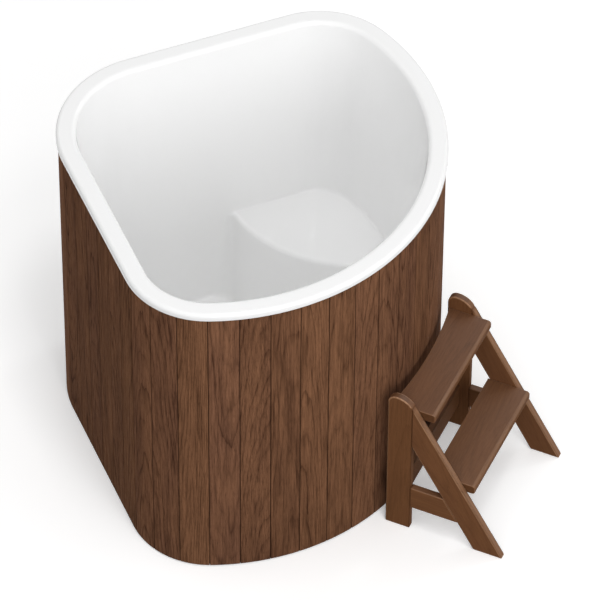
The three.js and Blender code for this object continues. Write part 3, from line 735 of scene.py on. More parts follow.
# Noise factors along three axes, with detail and roughness where they aren't the usual ones
RING_WAVERS = (((7, 7, 1.1), 0.012), ((26, 26, 4.0), 0.0045), ((110, 110, 14), 0.0012))
WOOD_FIBRES = ((430, 430, 8), 4.0, 0.62)
WOOD_STREAKS = ((150, 150, 2.6), 4.0, 0.62)
WOOD_CLOUDS = ((20, 20, 3.2), 3.0, 0.55)
WOOD_PORES = (1100, 1100, 30)
SAWN_FIBRES = ((14, 420, 420), 4.0, 0.6)
SAWN_CLOUDS = ((3, 14, 14), 3.0)
ACRYLIC_CLOUDS = ((5, 5, 5), 4.0, 0.6)
ACRYLIC_SPECKS = (260, 260, 260)
ACRYLIC_SCUFFS = (60, 900, 60)
ACRYLIC_WAVES = ((7, 7, 5), 1.0)
PLASTIC_GRAIN = (1400, 1400, 1400)
PLASTIC_CLOUDS = ((28, 28, 28), 4.0, 0.6)
METAL_CLOUDS = ((45, 45, 45), 4.0, 0.6)
METAL_PITS = (700, 700, 700)
PAPER_GRAIN = (300, 300, 300)

# Darkness from one year ring to the next, and from one ply to the next
LATE_WOOD = ((0.0, 0.8), (0.08, 0.25), (0.30, 0.0), (0.70, 0.10), (0.92, 0.75), (1.0, 1.0))
PLIES = ((0.0, 0.15), (0.46, 0.25), (0.52, 0.75), (0.96, 0.85), (1.0, 0.2))

# The part of a noise's values that is used, from the lowest to the highest
NOISE = (0.3, 0.7)
FIGURE_NOISE = (0.28, 0.72)
STREAK_NOISE = (0.35, 0.65)
ROUGH_NOISE = (0.25, 0.75)
PORE_NOISE = (0.56, 0.68)
SPOT_NOISE = (0.66, 0.74)
DULL_NOISE = (0.42, 0.68)
SCUFF_NOISE = (0.50, 0.72)
WEAR_NOISE = (0.42, 0.75)

# Shares of rings, fibres, streaks and clouds in the wood's figure
FIGURE_SHARES = (0.62, 0.30, 0.34, 0.22)

# Shares of fibres, rings and pores in the wood's relief
RELIEF_SHARES = (0.55, -0.30, -0.60)

# Least and most strength of a year's ring, of the pores, and of a board's cool tint
RING_STRENGTH = (0.25, 1.0)
PORE_STRENGTH = (0.35, 1.0)
COOL_STRENGTH = (0.4, 1.0)

# How far a face of wood looks up where it is still matt, and where it is polished
POLISH_FACING = (0.2, 0.8)

# Shades and tints of the wood
COOL_TINT = (0.95, 0.95, 1.07)
TONE_SHADE = 0.11
BASE_SHADE = 0.30
PORE_SHADE = 0.35
END_STAIN = 0.45

# Thickness of the hidden timber's layers
PLY_THICKNESS = 0.0015
SOFTWOOD_RING = 0.004

# The acrylic's refraction, and the heights between which it grows dull towards the floor
ACRYLIC_INDEX = 1.49
DULL_HEIGHTS = (0.46, 0.15)


def wood_finish(name, light, dark, edge, edge_share, ring_width, contrast, gloss, shine, polish):
    """Oiled plain-sawn wood, drawn in the log that each board was cut from."""
    wood = Finish(name)
    log = wood.attribute("grain")
    board = wood.add("ShaderNodeSeparateXYZ", {0: wood.attribute("board")}).outputs
    tone, warmth, edge_wear_and_painted_light = board["X"], board["Y"], board["Z"]

    # Year rings, wavering along the log
    flat = wood.scaled(log, (1, 1, 0))
    radius = wood.add("ShaderNodeVectorMath", {0: flat}, operation="LENGTH").outputs["Value"]
    for factors, sway in RING_WAVERS:
        waver = wood.range(wood.noise(log, factors), 0.0, 1.0, -sway, sway)
        radius = wood.math("ADD", radius, waver)
    years = wood.math("DIVIDE", radius, ring_width)
    late = wood.ramp(wood.math("FRACT", years), LATE_WOOD)
    year = wood.math("FLOOR", years)
    strength = wood.add("ShaderNodeTexWhiteNoise", {"W": year}, noise_dimensions="1D").outputs["Value"]
    rings = wood.math("MULTIPLY", late, wood.range(strength, 0.0, 1.0, *RING_STRENGTH))

    # Fibres, pores and slow changes of colour along the board
    fibres = wood.noise(log, *WOOD_FIBRES)
    streaks = wood.noise(log, *WOOD_STREAKS)
    clouds = wood.noise(log, *WOOD_CLOUDS)
    early = wood.math("SUBTRACT", 1.0, late, clamp=True)
    pores = wood.range(wood.noise(log, WOOD_PORES), *PORE_NOISE)
    pores = wood.math("MULTIPLY", pores, wood.range(early, 0.0, 1.0, *PORE_STRENGTH))

    # Colour, from light to dark, with pores, dark end grain, and the edge colour: painted shade in the
    # boards' joints, and on the steps eased edges that are partly wear and partly a painted highlight
    layers = [wood.range(layer, *FIGURE_NOISE, -1.0, 1.0) for layer in (fibres, streaks, clouds)]
    figure = wood.sum(*zip((rings, *layers), FIGURE_SHARES))
    shade = wood.sum((figure, contrast), (tone, TONE_SHADE), (1.0, BASE_SHADE), clamp=True)
    body = wood.mix(shade, light, dark)
    cooler = wood.mix(1.0, body, COOL_TINT, "MULTIPLY")
    cool = wood.math("MULTIPLY", warmth, wood.range(clouds, *STREAK_NOISE, *COOL_STRENGTH))
    body = wood.mix(cool, body, cooler)
    body = wood.mix(wood.math("MULTIPLY", pores, 0.5 * contrast), body, darker(dark, PORE_SHADE))
    # Painted light at edges: the boards' joints darken with depth as painted shade, and the steps' eased
    # edges lighten, partly wear and partly a painted highlight
    share = wood.math("MULTIPLY", edge_wear_and_painted_light, wood.range(streaks, *STREAK_NOISE, *edge_share))
    body = wood.mix(share, body, edge)
    body = wood.mix(wood.range(edge_wear_and_painted_light, 0.0, END_WEAR, 0.0, END_STAIN), body, dark)

    # Faces that look up are polished by use, upright ones are matt
    facing = wood.height(wood.add("ShaderNodeNewGeometry", {}).outputs["Normal"])
    rough = wood.range(fibres, *ROUGH_NOISE, gloss - 0.06, gloss + 0.10)
    relief = wood.sum(*zip((fibres, rings, pores), RELIEF_SHARES))
    return wood.finish({
        "Base Color": body,
        "Roughness": wood.sum((rough, 1.0), (pores, 0.15)),
        "Normal": wood.bump(relief, strength=0.40 * contrast, distance=0.0008),
        "Specular IOR Level": wood.range(facing, *POLISH_FACING, shine, polish),
    })


def acrylic_finish(name, white, dulled):
    """Glossy white moulded sheet, a little dulled where bathers wear it."""
    acrylic = Finish(name)
    spot = acrylic.coordinates()
    cloud = acrylic.noise(spot, *ACRYLIC_CLOUDS)
    speck = acrylic.noise(spot, ACRYLIC_SPECKS)
    low = acrylic.range(acrylic.height(spot), *DULL_HEIGHTS)
    wear = acrylic.math("MULTIPLY", low, acrylic.range(cloud, *DULL_NOISE))
    scuffs = acrylic.range(acrylic.noise(spot, ACRYLIC_SCUFFS), *SPOT_NOISE)
    scuffs = acrylic.math("MULTIPLY", scuffs, wear)
    share = acrylic.sum((wear, 0.55), (scuffs, 1.0), clamp=True)
    share = acrylic.sum((share, 1.0), (acrylic.range(speck, *NOISE), 0.12), clamp=True)
    rough = acrylic.range(cloud, *NOISE, 0.035, 0.065)
    relief = acrylic.sum((acrylic.noise(spot, *ACRYLIC_WAVES), 1.0), (speck, 0.012))
    return acrylic.finish({
        "Base Color": acrylic.mix(share, white, dulled),
        "Roughness": acrylic.sum((rough, 1.0), (share, 0.10)),
        "Normal": acrylic.bump(relief, strength=0.25, distance=0.004),
        "IOR": ACRYLIC_INDEX,
    })


def sawn_finish(name, light, dark, layer):
    """Raw timber of the hidden frame, in plies or rings of a layer's thickness."""
    timber = Finish(name)
    spot = timber.coordinates()
    fibres = timber.noise(spot, *SAWN_FIBRES)
    clouds = timber.noise(spot, *SAWN_CLOUDS)
    height = timber.sum((timber.height(spot), 1.0), (clouds, layer * 2))
    plies = timber.ramp(timber.math("FRACT", timber.math("DIVIDE", height, layer * 2)), PLIES)
    figure = timber.range(fibres, *NOISE, -0.15, 0.35)
    shade = timber.sum((plies, 0.45), (figure, 1.0), (timber.range(clouds, *NOISE), 0.25), clamp=True)
    return timber.finish({
        "Base Color": timber.mix(shade, light, dark),
        "Roughness": timber.range(fibres, *NOISE, 0.74, 0.90),
        "Normal": timber.bump(fibres, strength=0.35, distance=0.0006),
    })


def plastic_finish(name, base, gloss):
    """Moulded plastic with a fine grain and a few dull scuffs."""
    plastic = Finish(name)
    spot = plastic.coordinates()
    grain = plastic.noise(spot, PLASTIC_GRAIN)
    scuffs = plastic.range(plastic.noise(spot, *PLASTIC_CLOUDS), *SCUFF_NOISE)
    share = plastic.sum((scuffs, 0.5), (grain, 0.15))
    return plastic.finish({
        "Base Color": plastic.mix(share, base, darker(base, 0.72)),
        "Roughness": plastic.range(share, 0.0, 0.7, gloss, gloss + 0.25),
        "Normal": plastic.bump(grain, strength=0.12, distance=0.0003),
    })


def metal_finish(name, base, gloss, brush):
    """Plated or brushed metal: fine lines, cloudy wear and small pits."""
    metal = Finish(name)
    spot = metal.coordinates()
    lines = metal.noise(spot, brush, detail=3.0, roughness=0.6)
    cloud = metal.noise(spot, *METAL_CLOUDS)
    pits = metal.range(metal.noise(spot, METAL_PITS), *SPOT_NOISE)
    wear = metal.sum((metal.range(cloud, *WEAR_NOISE), 0.6), (pits, 0.4))
    rough = metal.range(lines, *NOISE, gloss, gloss + 0.14)
    return metal.finish({
        "Base Color": metal.mix(wear, base, darker(base, 0.62)),
        "Metallic": 1.0,
        "Roughness": metal.sum((rough, 1.0), (wear, 0.16)),
        "Normal": metal.bump(metal.math("SUBTRACT", lines, pits), strength=0.10, distance=0.0003),
    })


# Wood: where each board lay in its log


class Log:
    """The place of one board in the log that it was sawn from."""

    def __init__(self, chance, wide):
        self.aside = chance.uniform(-LOG_ASIDE, LOG_ASIDE) * wide
        self.depth = chance.choice((-1, 1)) * chance.uniform(*LOG_DEPTH) * wide
        self.lean = chance.uniform(-LOG_LEAN, LOG_LEAN)
        self.rise = chance.choice((-1, 1)) * chance.uniform(*LOG_RISE)
        self.along = chance.uniform(0.0, LOG_STOCK)
        self.tone = chance.uniform(-1.0, 1.0)
        self.warmth = chance.uniform(0.0, 1.0)

    def grain(self, across, through, along):
        """Place in the log of a point given across, through and along its board."""
        return Vector((
            across - self.aside - self.lean * along,
            through + self.depth + self.rise * along,
            along + self.along,
        ))


def draw_grain(bm, log, place_of, edge_of):
    """Stores each point's place in the log, and the board's tone, warmth and edge mark, which carries
    painted shade in the boards' joints, wear and painted highlight on the steps' edges, and end grain.
    """
    grain = bm.verts.layers.float_vector.new("grain")
    board = bm.verts.layers.float_vector.new("board")
    for vert in bm.verts:
        vert[grain] = log.grain(*place_of(vert.co))
        vert[board] = Vector((log.tone, log.warmth, edge_of(vert)))


# Boards


def bore(bm, height, radius, thickness):
    """Cuts a round hole through the middle of a flat board, from its face to its back."""
    for reach in (-radius, radius):
        cut(bm, (reach, 0.0, 0.0), (1.0, 0.0, 0.0))
        cut(bm, (0.0, 0.0, height + reach), (0.0, 0.0, 1.0))
    rims = []
    for depth in (0.0, thickness):
        centre = Vector((0.0, depth, height))
        face = min(bm.faces, key=lambda side: (side.calc_center_median() - centre).length)
        outline = face.edges[:]
        bmesh.ops.delete(bm, geom=[face], context="FACES_ONLY")
        bmesh.ops.subdivide_edges(bm, edges=outline, cuts=HOLE_CUTS)
        rim = [edge for edge in bm.edges if edge.is_boundary and edge not in rims]
        for vert in {vert for edge in rim for vert in edge.verts}:
            vert.co = centre + (vert.co - centre).normalized() * radius
        rims += rim
    bmesh.ops.bridge_loops(bm, edges=rims)
    bmesh.ops.recalc_face_normals(bm, faces=bm.faces)


class PLUNGE_TUB_OT_boards(Operator):
    """Clad the tub in upright tongued and grooved boards, bent to its outline"""

    bl_idname = "plunge_tub.boards"
    bl_label = "Boards"

    def execute(self, context):
        tub = context.scene.plunge_tub
        outline = Outline(tub.plan)
        colours = tub.finishes
        wood = wood_finish(
            "cladding_wood", colours.board_light, colours.board_dark, colours.board_joint_shade,
            edge_share=(0.80, 1.0), ring_width=0.0052, contrast=0.92,
            gloss=0.60, shine=0.002, polish=0.002,
        )
        pitch = outline.perimeter / tub.boards.count
        drain = Vector((tub.drain.x, tub.drain.y))
        beside = drain.dot(direction(outline.side_turn + QUARTER))
        pipe = outline.side_start + outline.side_run + beside
        chance = random.Random(BOARD_SEED)
        for i in range(tub.boards.count):
            middle = pipe + (i + 1 - tub.boards.pipe_board) * pitch
            bm = self.board(tub.boards, pitch, i + 1 == tub.boards.pipe_board, tub.drain)
            log = Log(chance, pitch)
            face = (pitch - tub.boards.gap) / 2 - tub.boards.ease

            # Painted shade in the joints: beside the face, a board darkens with its depth into the joint
            def depth_in_joint(vert):
                beside = abs(vert.co.x) > face + SAME_PLACE
                return min(vert.co.y / tub.boards.ease, 1.0) ** JOINT_FADE if beside else 0.0

            draw_grain(bm, log, lambda co: (co.x, co.y, co.z), depth_in_joint)
            for vert in bm.verts:
                spot = outline.point(middle + vert.co.x, vert.co.y)
                vert.co = (spot.x, spot.y, vert.co.z)
            number = f"{i + 1:02d}"
            finish_piece(bm, f"board_{number}", wood, "tub", "cladding_wood", f"stave_{number}")
        return {"FINISHED"}

    @staticmethod
    def board(sizes, pitch, has_pipe, drain):
        """A flat board: X across, Y inwards from the face, Z up."""
        half = (pitch - sizes.gap) / 2
        near = (sizes.thickness - sizes.tongue_thickness) / 2
        far = near + sizes.tongue_thickness
        groove = -half + sizes.tongue + sizes.clearance
        section = [
            (-half, 0.0),
            (half, 0.0),
            (half, near),
            (half + sizes.tongue, near),
            (half + sizes.tongue, far),
            (half, far),
            (half, sizes.thickness),
            (-half, sizes.thickness),
            (-half, far + sizes.clearance),
            (groove, far + sizes.clearance),
            (groove, near - sizes.clearance),
            (-half, near - sizes.clearance),
        ]
        bm = bmesh.new()
        prism(bm, [(x, y, sizes.foot) for x, y in section], (0.0, 0.0, sizes.top - sizes.foot))
        face = [edge for edge in bm.edges if all(vert.co.y < NO_DISTANCE for vert in edge.verts)]
        upright = [edge for edge in face if abs(edge.verts[0].co.z - edge.verts[1].co.z) > SAME_PLACE]
        ease(bm, upright, sizes.ease)
        low = sizes.foot + SAME_PLACE
        foot = [
            edge for edge in sharp_edges(bm)
            if all(vert.co.z < low and vert.co.y < sizes.ease for vert in edge.verts)
        ]
        ease(bm, foot, sizes.foot_ease, FEW_SEGMENTS)
        if has_pipe:
            bore(bm, drain.pipe_height, sizes.hole, sizes.thickness)
        inner = half - FACE_MARGIN * sizes.ease
        for across in [*spread(-inner, inner, BOARD_SPANS), inner]:
            cut(bm, (across, 0.0, 0.0), (1.0, 0.0, 0.0))
        return bm


# Liner


class LinerShape:
    """Rings of points that run up the inside of the liner and over its rim."""

    def __init__(self, tub):
        self.sizes = tub.liner
        self.top = tub.plan.height
        self.outline = Outline(tub.plan)
        sizes = self.sizes
        self.slope = (sizes.floor_inset - sizes.rim_inset) / (self.top - sizes.floor_height)
        self.lean = math.atan(self.slope)
        rise = sizes.seat_height - sizes.floor_height
        self.seat_slope = sizes.seat_flare / rise
        self.seat_lean = math.atan(self.seat_slope)
        self.axis = self.outline.seat_corner + Vector((sizes.seat_shift_x, sizes.seat_shift_y))
        low, high = self.meetings(sizes.floor_height), self.meetings(sizes.seat_height)
        room = SEAT_ROOM * sizes.corner_foot
        self.zone = (min(low[0], high[0]) - room, max(low[1], high[1]) + room)
        self.upper = self.upper_distances()

    def wall(self, height):
        return self.sizes.rim_inset + (self.top - height) * self.slope

    def seat(self, height):
        return self.sizes.seat_radius + (self.sizes.seat_height - height) * self.seat_slope

    def blend(self, height):
        sizes = self.sizes
        share = (height - sizes.floor_height) / (sizes.seat_height - sizes.floor_height)
        return sizes.corner_foot + (sizes.corner_blend - sizes.corner_foot) * share

    def meetings(self, height):
        """Distances along the outline at which the seat's front meets the wall."""
        inset, radius = self.wall(height), self.seat(height)

        def outside(distance):
            return (self.outline.point(distance, inset) - self.axis).length > radius

        found = []
        for clear in (0.0, self.outline.side_end):
            low, high = clear, self.outline.seat_middle
            for _ in range(SEARCH_ROUNDS):
                middle = (low + high) / 2
                low, high = (middle, high) if outside(middle) else (low, middle)
            found.append(low)
        return found

    def blend_ends(self, height):
        """Distances at which the wall leaves for the fillets beside the seat."""
        first, last = self.meetings(height)
        inset, reach = self.wall(height), self.blend(height)
        spacing = (self.outline.point(first - reach, inset) - self.outline.point(first, inset)).length
        return first - reach * reach / spacing, last + reach

    def corner(self, start, end, meeting):
        """A fillet from one point to another, drawn towards the corner where they meet."""
        turn = (meeting - start).angle(end - meeting)
        hold = 4 / 3 * math.tan(turn / 4) / math.tan(turn / 2)
        first, second = start.lerp(meeting, hold), end.lerp(meeting, hold)
        points = []
        for share in spread(0.0, 1.0, LINER_CORNER_COLUMNS):
            left, right = start.lerp(first, share), second.lerp(end, share)
            middle = first.lerp(second, share)
            points.append(left.lerp(middle, share).lerp(middle.lerp(right, share), share))
        return points

    def along(self, distances, inset):
        return [self.outline.point(distance, inset) for distance in distances]

    def lower(self, height):
        """The closed ring at a height below the seat's top."""
        inset, radius = self.wall(height), self.seat(height)
        meet = self.along(self.meetings(height), inset)
        leave = self.blend_ends(height)
        ends = self.along(leave, inset)
        turns = []
        for sign, point in zip((1, -1), meet):
            aim = point - self.axis
            turns.append(math.atan2(aim.y, aim.x) - sign * self.blend(height) / radius)
        arc = [self.axis + direction(turn) * radius for turn in turns]
        ring = self.along(spread(self.zone[0], leave[0], LINER_WALL_COLUMNS), inset)
        ring += self.corner(ends[0], arc[0], meet[0])
        ring += [self.axis + direction(turn) * radius for turn in spread(*turns, LINER_SEAT_COLUMNS)]
        ring += self.corner(arc[1], ends[1], meet[1])
        ring += self.along(spread(leave[1], self.zone[1], LINER_WALL_COLUMNS), inset)
        return ring + self.along(self.free_distances(), inset)

    def free_distances(self):
        return spread(self.zone[1], self.zone[0] + self.outline.perimeter, LINER_FREE_COLUMNS)

    def upper_distances(self):
        """Distances along the outline of the columns above the seat."""
        sizes = self.sizes
        leave = self.blend_ends(sizes.seat_height)
        first, last = self.meetings(sizes.seat_height)
        inset = self.wall(sizes.seat_height)
        across = (self.outline.point(first, inset) - self.outline.point(last, inset)).length
        front = 2 * sizes.seat_radius * math.asin(across / (2 * sizes.seat_radius))
        lap = sizes.corner_blend * (last - first) / front
        stops = [self.zone[0], leave[0], first + lap, last - lap, leave[1], self.zone[1]]
        columns = [LINER_WALL_COLUMNS, LINER_CORNER_COLUMNS, LINER_SEAT_COLUMNS]
        columns += columns[1::-1]
        distances = []
        for start, end, steps in zip(stops, stops[1:], columns):
            distances += spread(start, end, steps)
        return distances + self.free_distances()

    def above(self, inset):
        return self.along(self.upper, inset)

    def fillet_ring(self, share):
        """A ring of the fillet round the floor; share 0 is on the floor and 1 on the wall."""
        sizes = self.sizes
        columns = 2 * LINER_CORNER_COLUMNS + LINER_SEAT_COLUMNS
        ring = []
        rings = {}
        for i in range(len(self.upper)):
            inside = i - LINER_WALL_COLUMNS
            on_seat = min(inside, columns - inside) / LINER_CORNER_COLUMNS
            on_seat = smooth(min(max(on_seat, 0.0), 1.0))
            radius = sizes.floor_fillet + (sizes.seat_foot - sizes.floor_fillet) * on_seat
            lean = self.lean + (self.seat_lean - self.lean) * on_seat
            turn = 3 * QUARTER + (lean - QUARTER) * share
            rise = radius * (1 + math.sin(turn))
            reach = radius * (1 / math.cos(lean) - math.tan(lean))
            reach += radius * math.cos(turn) + rise * math.tan(lean)
            key = round(rise, ROUND_DIGITS)
            if key not in rings:
                rings[key] = self.lower(sizes.floor_height + rise)
            spot = rings[key][i] + inward(rings[key], i) * reach
            ring.append(Vector((*spot, sizes.floor_height + rise)))
        return ring

    def margin_ring(self, first):
        """The ring on the flat floor just inside the fillet."""
        margin = self.sizes.floor_margin
        return [point + inward(first, i).to_3d() * margin for i, point in enumerate(first)]

    def seat_rings(self):
        """Rings over the seat's rounded edge, across its top and up its back fillet."""
        sizes = self.sizes
        top = sizes.seat_height
        front = self.lower(top)
        back = self.above(self.wall(top))
        steps = [("edge", i / EDGE_RINGS) for i in range(EDGE_RINGS + 1)]
        steps += [("shelf", i / SHELF_RINGS) for i in range(1, SHELF_RINGS)]
        steps += [("fillet", i / FILLET_RINGS) for i in range(FILLET_RINGS + 1)]
        cached = {}
        rings = []
        for part, share in steps:
            ring = []
            turn = share * QUARTER
            for i, (start, end) in enumerate(zip(front, back)):
                depth = (end - start).length
                way = (end - start) / depth if depth > SAME_PLACE else Vector((0.0, 0.0))
                slope = sizes.ledge_slope * (1 - smooth(min(depth / sizes.ledge_fade, 1.0)))
                edge = min(sizes.seat_edge, EDGE_DEPTH * depth)
                fillet = min(sizes.seat_fillet, FILLET_DEPTH * depth)
                if part == "edge":
                    height = top - sizes.seat_edge + (sizes.seat_edge - slope) * math.sin(turn)
                    reach = edge * (1 - math.cos(turn))
                elif part == "shelf":
                    height = top - slope + 2 * slope * share
                    reach = edge + (depth - edge - fillet) * share
                else:
                    height = top + slope + (sizes.seat_fillet - slope) * (1 - math.cos(turn))
                    reach = depth - fillet * (1 - math.sin(turn))
                on_wall = part == "fillet" or height > top
                key = (on_wall, round(height, ROUND_DIGITS))
                if key not in cached:
                    cached[key] = self.above(self.wall(height)) if on_wall else self.lower(height)
                lean = cached[key][i] - (end if on_wall else start)
                ring.append(Vector((*(start + way * reach + lean), height)))
            rings.append(ring)
        return rings

    def rim_rings(self):
        """Rings over the rounded rim and down the lip."""
        sizes = self.sizes
        low = self.top - sizes.rim_round
        centre = self.wall(low) - sizes.rim_round
        outer = -sizes.lip_clearance - sizes.shell
        lip = (outer + sizes.lip_round, self.top - sizes.lip_round)
        profile = arc_points((centre, low), sizes.rim_round, 0.0, QUARTER, FILLET_RINGS)
        profile += [(centre - RIM_FLAT, self.top), (lip[0] + RIM_FLAT, self.top)]
        profile += arc_points(lip, sizes.lip_round, QUARTER, math.pi, LIP_RINGS)
        profile.append((outer, self.top - sizes.lip_drop))
        return [raised(self.above(inset), height) for inset, height in profile]

    def rings(self):
        sizes = self.sizes
        fillet = [self.fillet_ring(i / FILLET_RINGS) for i in range(FILLET_RINGS + 1)]
        rings = [self.margin_ring(fillet[0]), *fillet]
        foot = sizes.floor_height + max(sizes.floor_fillet, sizes.seat_foot)
        edge = sizes.seat_height - sizes.seat_edge
        for height in spread(foot, edge, LINER_WALL_RINGS)[1:]:
            rings.append(raised(self.lower(height), height))
        rings += self.seat_rings()
        low, high = sizes.seat_height + sizes.seat_fillet, self.top - sizes.rim_round
        for height in spread(low, high, LINER_WALL_RINGS)[1:]:
            rings.append(raised(self.above(self.wall(height)), height))
        return rings + self.rim_rings()


class PLUNGE_TUB_OT_liner(Operator):
    """Form the white liner as one sheet: floor, seat, walls, rolled rim and lip"""

    bl_idname = "plunge_tub.liner"
    bl_label = "Liner"

    def execute(self, context):
        tub = context.scene.plunge_tub
        sizes = tub.liner
        rings = LinerShape(tub).rings()
        bm = bmesh.new()
        made = bmesh.ops.create_circle(bm, cap_ends=False, radius=1.0, segments=len(rings[0]))["verts"]
        first = made
        for vert, spot in zip(made, rings[0]):
            vert.co = spot
        for ring in rings[1:]:
            made = self.draw_up(bm, made, ring)
        drain = Matrix.Translation((tub.drain.x, tub.drain.y, sizes.floor_height))
        hole = bmesh.ops.create_circle(
            bm, cap_ends=False, radius=tub.drain.radius + tub.drain.fit, segments=TURN_STEPS, matrix=drain
        )["verts"]
        near = {edge for vert in [*first, *hole] for edge in vert.link_edges}
        bounds = [edge for edge in bm.edges if edge in near and (edge.is_boundary or edge.is_wire)]
        bmesh.ops.triangle_fill(bm, use_beauty=True, use_dissolve=False, edges=bounds, normal=(0, 0, 1))
        bmesh.ops.recalc_face_normals(bm, faces=bm.faces)
        self.face_up(bm, sizes.floor_height)
        self.thicken(bm, sizes.shell)
        ease(bm, self.lip_edges(bm, tub), sizes.lip_ease, FEW_SEGMENTS)
        colours = tub.finishes
        white = acrylic_finish("white_acrylic", colours.acrylic, colours.acrylic_worn)
        finish_piece(bm, "liner_shell", white, "tub", "white_acrylic", "liner")
        return {"FINISHED"}

    @staticmethod
    def draw_up(bm, made, ring):
        """Extrudes the last ring of the sheet onto the next ring of points."""
        edges = [bm.edges.get((made[i - 1], made[i])) for i in range(len(made))]
        grown = bmesh.ops.extrude_edge_only(bm, edges=edges)["geom"]
        fresh = {part for part in grown if isinstance(part, bmesh.types.BMVert)}
        raised = []
        for vert, spot in zip(made, ring):
            beside = [edge.other_vert(vert) for edge in vert.link_edges]
            above = next(other for other in beside if other in fresh)
            above.co = spot
            raised.append(above)
        return raised

    @staticmethod
    def face_up(bm, floor):
        """Turns the sheet so that its floor faces up."""
        bm.normal_update()
        flat = [
            face for face in bm.faces
            if all(abs(vert.co.z - floor) < SAME_PLACE for vert in face.verts)
        ]
        if sum(face.normal.z for face in flat) < 0:
            bmesh.ops.reverse_faces(bm, faces=bm.faces)

    @staticmethod
    def thicken(bm, thickness):
        """Lays a second skin behind the sheet and closes the two at their edges."""
        bm.normal_update()
        front = [(vert, vert.co - vert.normal * thickness) for vert in bm.verts]
        made = bmesh.ops.duplicate(bm, geom=bm.verts[:] + bm.edges[:] + bm.faces[:])
        for vert, spot in front:
            made["vert_map"][vert].co = spot
        behind = [part for part in made["geom"] if isinstance(part, bmesh.types.BMFace)]
        bmesh.ops.reverse_faces(bm, faces=behind)
        PLUNGE_TUB_OT_liner.unfold(bm, behind)
        rims = [edge for edge in bm.edges if edge.is_boundary]
        high = max(vert.co.z for vert in bm.verts) / 2
        for upper in (True, False):
            rim = [edge for edge in rims if (edge.verts[0].co.z > high) == upper]
            bmesh.ops.bridge_loops(bm, edges=rim)
        bmesh.ops.recalc_face_normals(bm, faces=bm.faces)

    @staticmethod
    def unfold(bm, faces):
        """Smooths the second skin at the seat's tips, where it would fold over itself."""
        edges = {edge for face in faces for edge in face.edges if edge.is_manifold}
        spots = {vert for edge in edges if edge.calc_face_angle() > FOLD_ANGLE for vert in edge.verts}
        for _ in range(FOLD_RINGS):
            spots = {vert for spot in spots for face in spot.link_faces for vert in face.verts}
        verts = [vert for vert in bm.verts if vert in spots]
        for _ in range(FOLD_ROUNDS):
            bmesh.ops.smooth_vert(
                bm, verts=verts, factor=0.5, use_axis_x=True, use_axis_y=True, use_axis_z=True
            )

    @staticmethod
    def lip_edges(bm, tub):
        foot = tub.plan.height - tub.liner.lip_drop
        return [
            edge for edge in sharp_edges(bm)
            if all(abs(vert.co.z - foot) < SAME_HEIGHT for vert in edge.verts)
        ]


# Hidden frame


class PLUNGE_TUB_OT_frame(Operator):
    """Give the former, the deck and the bearers their raw timber"""

    bl_idname = "plunge_tub.frame"
    bl_label = "Frame Timber"

    def execute(self, context):
        colours = context.scene.plunge_tub.finishes
        plywood = sawn_finish("plywood", colours.plywood, colours.plywood_dark, PLY_THICKNESS)
        softwood = sawn_finish("softwood", colours.softwood, colours.softwood_dark, SOFTWOOD_RING)
        timbers = {
            plywood: ("upper_former", "base_deck"),
            softwood: ("bearer_front", "bearer_middle", "bearer_back"),
        }
        for material, nodes in timbers.items():
            for node in nodes:
                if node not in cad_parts:
                    raise RuntimeError(f"the packed model has no {node}")
                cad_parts[node].material_slots[0].material = material
        return {"FINISHED"}


# Drain and valve


def drain_matrix(tub):
    """Place of the drain, with its X axis pointing out through the straight side."""
    turn = Matrix.Rotation(math.pi - tub.plan.half_corner, 4, "Z")
    return Matrix.Translation((tub.drain.x, tub.drain.y, 0.0)) @ turn


def valve_start(tub):
    """Distance from the drain's axis to the valve, along the pipe."""
    out = direction(math.pi - tub.plan.half_corner)
    return tub.plan.side_distance - out.dot(Vector((tub.drain.x, tub.drain.y))) + tub.drain.standoff


def along_x(bm, height):
    """Lays a shape that was turned about Z along X, at a height."""
    place(bm, Matrix.Translation((0.0, 0.0, height)) @ Matrix.Rotation(QUARTER, 4, "Y"))


